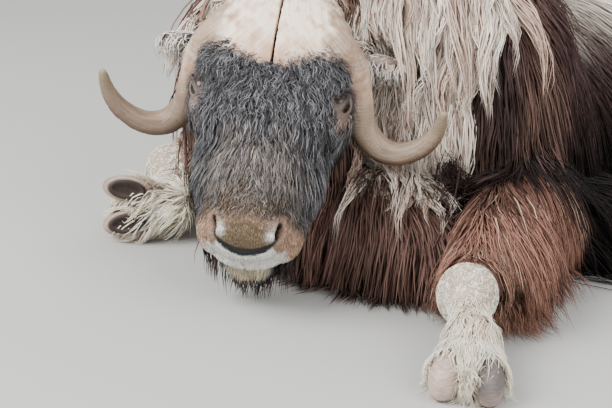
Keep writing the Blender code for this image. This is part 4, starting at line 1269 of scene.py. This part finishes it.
def trunk_coat(skin):
    """The long coat: chest and throat, mane, flanks, back and rump."""
    along, side, height = to_trunk(skin.centre)
    faces = skin.among("trunk") * (skin.centre[:, 2] > 0.012) * (skin.facing[:, 2] > -0.75)
    chest = faces * (along < 0.26) * (side > -0.26)
    left = faces * (chest == 0) * (side >= 0)
    right = faces * (chest == 0) * (side < 0)
    plans = (
        ("coat_chest", chest, 0.0095, 0.0050, 0.17, 0.8),
        ("coat_left_front", left * (along < 0.66), 0.0078, 0.0048, 0.25, 0.35),
        ("coat_left_rear", left * (along >= 0.66), 0.0132, 0.0100, 0.27, 0.35),
        ("coat_right", right, 0.0180, 0.0125, 0.25, 0.40),
    )

    def tint(seed):
        return lambda roots: sprinkle(trunk_tint(roots), 0.15, seed, FLANK_RED * 1.3, 0.04)

    def skirt(roots):
        """1 low on the front of the flanks, where the coat spreads out over the ground."""
        along, _, height = to_trunk(roots)
        return ramp(height, 0.34, 0.14) * ramp(along, 0.14, 0.22) * ramp(along, 0.64, 0.42)

    def reach(most):
        return lambda roots: most * (1 + 0.36 * skirt(roots) - 0.4 * ramp(roots[:, 2], 0.42, 0.60))

    def flare(roots):
        return 0.018 + 0.120 * skirt(roots)

    return [
        grow(name, skin, weight, spacing, trunk_lie, reach(most), flare, even(sag), tint(205 + 10 * k),
             200 + 10 * k, width=width, sway=0.08, pull=0.35, bend=0.004, turns=0.9, sink=0.008, root_shade=0.8)
        for k, (name, weight, spacing, width, most, sag) in enumerate(plans)
    ]


def wool(skin):
    """Shed underwool that hangs from the mane in ropes and mats, over the darker hair."""
    along, side, height = to_trunk(skin.centre)
    faces = skin.among("trunk") * (skin.facing[:, 2] > -0.4)
    strip = ramp(np.abs(side - 0.09), 0.08, 0.04)
    left = faces * (along > 0.05) * (along < 0.27) * (side > -0.05) * (side < 0.165) * (height > 0.31) * (0.4 + 0.6 * strip)
    low = faces * (along < 0.20) * (side > 0.03) * (side < 0.13) * (height > 0.19) * (height < 0.32) * 0.6
    right = faces * (side < -0.19) * (along < 0.22) * (height > 0.34)
    nape = faces * (side > -0.22) * (side < 0.03) * (along > 0.05) * (along < 0.36) * (height > 0.60) * 0.5
    plans = (
        ("wool_left", left, 0.0265, 0.33, 0.034, 42),
        ("wool_throat", low, 0.027, 0.17, 0.026, 36),
        ("wool_right", right, 0.035, 0.20, 0.040, 38),
        ("wool_nape", nape, 0.044, 0.16, 0.030, 36),
    )
    pieces = []
    for k, (name, weight, spacing, most, off, per) in enumerate(plans):
        seed = 500 + 10 * k
        roots, normals, uv, _ = skin.plant(weight, spacing, seed)
        draw = np.random.default_rng(seed + 1)
        count = len(roots)
        flow = trunk_lie(roots, normals) * 0.5 + DOWN_WAY + normals * [0.3, 0.3, 0]
        if name == "wool_right":
            flow = flow + np.array([-0.45, -0.15, 0])
        ways = along_surface(unit(flow) + draw.normal(0, 0.15, (count, 3)), normals)
        paths, facing = comb(skin, roots, normals, ways, most * draw.uniform(0.55, 1.25, count),
                             off * draw.uniform(0.6, 1.5, count), np.full(count, 0.8), 8, 0.004)
        lone = np.arange(count)
        paths = wave(paths, facing, lone, 0.010, 1.0, seed + 2)
        made, out, which = bundled(paths, facing, per, draw.uniform(0.009, 0.022, count), seed + 3)
        made = curl(made, out, which, 0.0042, 2.2, seed + 4)
        cast = draw.random(count)
        base = mixed(np.repeat(WOOL_PALE[None], count, 0), WOOL_PINK, ramp(cast, 0.6, 1.0))
        # About a tenth of the strands are mixed towards the wool's painted shadow colour, as painted shade among the
        # clumps.
        colour = sprinkle(base[which], 0.14, seed + 5, WOOL_SHADOW, 0.10)
        total = len(which)
        # Painted shade at the roots: each strand's root colour is mixed 0.15 towards the wool's shadow colour.
        pieces.append(strands(name, made, out, 0.0042 * draw.uniform(0.5, 1.4, total),
                              np.full(total, 0.0015), (mixed(colour, WOOL_SHADOW, np.full(total, 0.15)), colour),
                              uv[which], seed + 6))
    return pieces


def arm_coat(skin):
    """Long hair of the forearms, which leaves the wrist free."""
    pieces = []
    for word, side in SIDES:
        leg = FORE_LEFT if side > 0 else FORE_RIGHT
        flow = np.array([0.60 * side, -0.20, -0.80])

        def clear(points):
            return np.linalg.norm(points - np.array(leg["wrist"]), axis=1)

        def tint(roots):
            return sprinkle(arm_tint(roots), 0.26, 315, BLONDE, 0.04 + 0.25 * ramp(clear(roots), 0.17, 0.09))

        weight = skin.among("arm_" + word) * (skin.centre[:, 2] > 0.01) * (clear(skin.centre) > 0.078)
        pieces.append(grow("coat_arm_" + word, skin, weight, 0.0058 if side > 0 else 0.0082,
                           lambda roots, normals: np.repeat(flow[None], len(roots), 0) + normals * 0.2,
                           lambda roots: 0.065 + 0.115 * ramp(clear(roots), 0.09, 0.19),
                           even(0.016), even(0.45), tint, 310 + 10 * side,
                           width=0.0036 if side > 0 else 0.0052, sway=0.10, pull=0.45, bend=0.005, turns=0.9))
    return pieces


def foot_coat(skin):
    """Short hair on the wrist and cannon, and shaggy hair that falls over the hooves."""
    pieces = []
    for k, (name, leg) in enumerate(LEGS.items()):
        spacing, width = {"forefoot_left": (0.0040, 0.0025), "forefoot_right": (0.0056, 0.0036)}.get(
            name, (0.0078, 0.0050))
        toe = np.array(leg["toe"].normalized())
        shin = np.array((leg["fetlock"] - leg["wrist"]).normalized())

        def shaggy(roots):
            return ramp(down_leg(roots, leg), 0.030, 0.080)

        def fringe(roots):
            return ramp(down_leg(roots, leg), 0.085, 0.125)

        def lie(roots, normals):
            loose = shaggy(roots)[:, None]
            return shin * (1 - loose) + toe * loose + DOWN_WAY * 0.25 + normals * loose * 0.25

        weight = skin.among(name) * (skin.centre[:, 2] > 0.006) * (0.7 + 0.3 * fringe(skin.centre))
        pieces.append(grow("coat_" + name, skin, weight, spacing, lie,
                           lambda roots: 0.009 + 0.043 * shaggy(roots) + 0.022 * fringe(roots),
                           lambda roots: 0.0012 + 0.0105 * shaggy(roots),
                           lambda roots: 0.2 + 0.2 * shaggy(roots),
                           lambda roots: sprinkle(foot_tint(roots, leg), 0.08, 345 + k, SOCK_TAN, 0.03),
                           340 + 10 * k, width=width, sway=0.2, pull=0.6, per_lock=12,
                           bend=0.0026, turns=1.3, sink=0.002, root_shade=0.85))
    return pieces


def small_coat(skin):
    """Fuzz of the ears and the tail's brush."""
    pieces = []
    for k, (name, spacing, length, colour) in enumerate((
        ("ear_left", 0.0060, 0.045, WOOL_PALE),
        ("ear_right", 0.0060, 0.045, WOOL_PALE),
        ("tail", 0.0078, 0.070, FLANK_RED),
    )):
        pieces.append(grow("coat_" + name, skin, skin.among(name) * 1.0, spacing,
                           lambda roots, normals: np.repeat(DOWN_WAY[None], len(roots), 0),
                           even(length), even(0.005), even(0.4),
                           lambda roots: sprinkle(np.repeat(colour[None], len(roots), 0), 0.35, 405 + k),
                           400 + 10 * k, width=spacing * 0.6, sway=0.3, rings=5, sink=0.002))
    return pieces


# Materials of the hair and the skin


def socket_mix(nodes, links, kind, a, b, share):
    mix = nodes.new("ShaderNodeMix")
    mix.data_type = "RGBA"
    mix.blend_type = kind
    mix.inputs[0].default_value = share
    links.new(a, mix.inputs[6])
    links.new(b, mix.inputs[7])
    return mix.outputs[2]


def tinted(name, scale, contrast, roughness, bump, source="Grain", detail=2.0, wet=False):
    """Colour from the Tint attribute, broken up by noise that also gives the relief and the gloss."""
    material = plain_material(name, (0.1, 0.1, 0.1), roughness[0])
    nodes, links = material.node_tree.nodes, material.node_tree.links
    shader = nodes["Principled BSDF"]
    shader.inputs["Specular IOR Level"].default_value = 0.3
    tint = nodes.new("ShaderNodeAttribute")
    tint.attribute_name = "Tint"
    if source == "Object":
        place = nodes.new("ShaderNodeTexCoord").outputs["Object"]
    else:
        grain = nodes.new("ShaderNodeAttribute")
        grain.attribute_name = source
        place = grain.outputs["Vector"]
    mapping = nodes.new("ShaderNodeMapping")
    mapping.inputs["Scale"].default_value = scale
    links.new(place, mapping.inputs["Vector"])
    noise = nodes.new("ShaderNodeTexNoise")
    noise.inputs["Scale"].default_value = 1
    noise.inputs["Detail"].default_value = detail
    links.new(mapping.outputs["Vector"], noise.inputs["Vector"])
    shade = spread(nodes, links, noise, 1 - contrast, 1 + contrast * 0.6)
    colour = socket_mix(nodes, links, "MULTIPLY", tint.outputs["Color"], shade, 1.0)
    links.new(colour, shader.inputs["Base Color"])
    gloss = spread(nodes, links, noise, *roughness)
    if wet:
        damp = nodes.new("ShaderNodeAttribute")
        damp.attribute_name = "Wet"
        dry = nodes.new("ShaderNodeMath")
        dry.operation = "MULTIPLY_ADD"
        dry.inputs[1].default_value = -0.2
        links.new(damp.outputs["Fac"], dry.inputs[0])
        links.new(gloss, dry.inputs[2])
        gloss = dry.outputs["Value"]
    links.new(gloss, shader.inputs["Roughness"])
    relief = nodes.new("ShaderNodeBump")
    relief.inputs["Strength"].default_value = 0.5
    relief.inputs["Distance"].default_value = bump
    links.new(noise.outputs["Fac"], relief.inputs["Height"])
    links.new(relief.outputs["Normal"], shader.inputs["Normal"])
    return material


def spread(nodes, links, noise, low, high):
    """The noise stretched over a range of values."""
    fit = nodes.new("ShaderNodeMapRange")
    fit.inputs["From Min"].default_value = 0.3
    fit.inputs["From Max"].default_value = 0.7
    fit.inputs["To Min"].default_value = low
    fit.inputs["To Max"].default_value = high
    links.new(noise.outputs["Fac"], fit.inputs["Value"])
    return fit.outputs["Result"]


def across_along(across, along):
    """A noise scale for grains of that width and length."""
    return 1 / across, 1 / along, 1


def unwrap(obj):
    """The bake map of a piece, from its own shape."""
    only(obj)
    if "OFBake" not in obj.data.uv_layers:
        obj.data.uv_layers.new(name="OFBake")
    bpy.ops.object.mode_set(mode="EDIT")
    bpy.ops.mesh.select_all(action="SELECT")
    bpy.ops.uv.smart_project(angle_limit=math.radians(66), island_margin=0.002)
    bpy.ops.object.mode_set(mode="OBJECT")


def carve_muzzle(obj):
    """Nostrils with the bare band between them, the split of the lip and the mouth's line.

    It gives back how bare every point is, from before the surface was moved.
    """
    co = coordinates(obj)
    local = to_head(co)
    half = mirrored(local)
    near = local[:, 1] < -0.17
    band, place = band_line(local)
    pit = np.exp(-((np.linalg.norm(half - np.array(NOSTRIL[1]), axis=1) / 0.0085) ** 2))
    rim = np.exp(-(((band - 0.006) / 0.004) ** 2)) * ramp(place, 0.60, 0.15)
    groove = 0.0040 * ramp(band, 0.002, -0.004)
    front = ramp(local[:, 1], -0.18, -0.23)
    mouth = np.exp(-(((local[:, 2] - MOUTH_HEIGHT) / 0.0042) ** 2)) * front
    lips = np.exp(-(((np.abs(local[:, 2] - MOUTH_HEIGHT) - 0.011) / 0.006) ** 2)) * front
    split = np.exp(-((local[:, 0] / 0.0026) ** 2)) * front
    split = split * ramp(local[:, 2], -0.10, -0.085) * ramp(local[:, 2], -0.036, -0.055)
    bare = ramp(band, 0.0016, 0.0) * near
    move = -groove - 0.015 * pit + 0.0035 * rim - 0.0065 * mouth + 0.0020 * lips - 0.0022 * split
    co += normals_of(obj) * (move * near)[:, None]
    co[:, 2] = np.maximum(co[:, 2], 0.0)
    set_coordinates(obj, co)
    return bare


# Putting it together

def place_piece(obj, *nodes, slot=None):
    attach(obj, "root")
    if nodes:
        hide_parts(*nodes)


skin_obj, skin_region, region_names = build_skin()
bare = carve_muzzle(skin_obj)
unwrap(skin_obj)
horns = [build_horn(word, side) for word, side in SIDES]
eyes = [build_eye(word, side) for word, side in SIDES]
hooves = []
for name, leg in LEGS.items():
    for place, way in (("outer", -1), ("inner", 1)):
        node = name.replace("foot", "hoof") + "_" + place
        hooves.append((node, build_hoof(node + "_piece", leg, way * (1 if "left" in name else -1))))
skin = Skin(skin_obj, skin_region, region_names, [*horns, *eyes, *(hoof for _, hoof in hooves)])
point_region = np.zeros(len(skin_obj.data.vertices), int)
point_region[skin.corner.ravel()] = np.repeat(skin_region, 3)
skin.bare = bare[skin.corner].mean(1)
spots = coordinates(skin_obj)
muzzle = on_muzzle(to_head(spots)) * (point_region == region_names.index("head"))
# Painted shade under the coat: the skin's colour is darkened to 0.45 of the markings, and only to 0.8 on the muzzle.
tint = markings(spots, point_region, region_names) * (0.45 + 0.35 * muzzle)[:, None]
write_colours(skin_obj, "Tint", mixed(tint, BARE_DARK, bare))
write_values(skin_obj, "Wet", bare)
give(skin_obj, tinted("skin", (420, 420, 420), 0.4, (0.55, 0.72), 0.0012, "Object", 4, True))
place_piece(skin_obj, "head", "neck", "torso", "rump", "tail", "ear_left", "ear_right", "foreleg_left", "foreleg_right", *LEGS)
fur = tinted("fur", across_along(0.0007, 0.02), 0.45, (0.5, 0.65), 0.0006)
long_hair = tinted("long_hair", across_along(0.0009, 0.08), 0.4, (0.5, 0.68), 0.0006)
long_hair.node_tree.nodes["Principled BSDF"].inputs["Specular IOR Level"].default_value = 0.12
woolly = tinted("wool", across_along(0.0008, 0.03), 0.35, (0.7, 0.85), 0.0006)
sock_hair = tinted("sock_hair", across_along(0.0008, 0.04), 0.25, (0.6, 0.75), 0.0005)
for pieces, material, slot in (
    (head_coat(skin) + small_coat(skin), fur, "face"),
    (trunk_coat(skin), long_hair, "coat"),
    (wool(skin), woolly, "mane"),
    (arm_coat(skin), long_hair, "coat"),
    (foot_coat(skin), sock_hair, "sock"),
):
    for piece in pieces:
        give(piece, material)
        place_piece(piece, slot=slot)
horn_stuff = tinted("horn", (80, 6, 6), 0.42, (0.36, 0.62), 0.0020, detail=7)
eye_stuff = tinted("eye", (9, 9, 9), 0.3, (0.04, 0.09), 0.0001)
hoof_stuff = tinted("hoof", (420, 60, 60), 0.35, (0.45, 0.7), 0.0008, detail=5)
sole_stuff = tinted("sole", (160, 160, 160), 0.6, (0.75, 0.95), 0.0016, detail=5)
for (word, side), horn, eye in zip(SIDES, horns, eyes):
    give(horn, horn_stuff)
    place_piece(horn, "horn_" + word, slot="horn")
    give(eye, eye_stuff)
    place_piece(eye, "eye_" + word, slot="eye")
for node, hoof in hooves:
    give(hoof, hoof_stuff, sole_stuff)
    place_piece(hoof, node, slot="hoof")
build_stage()
build_camera()
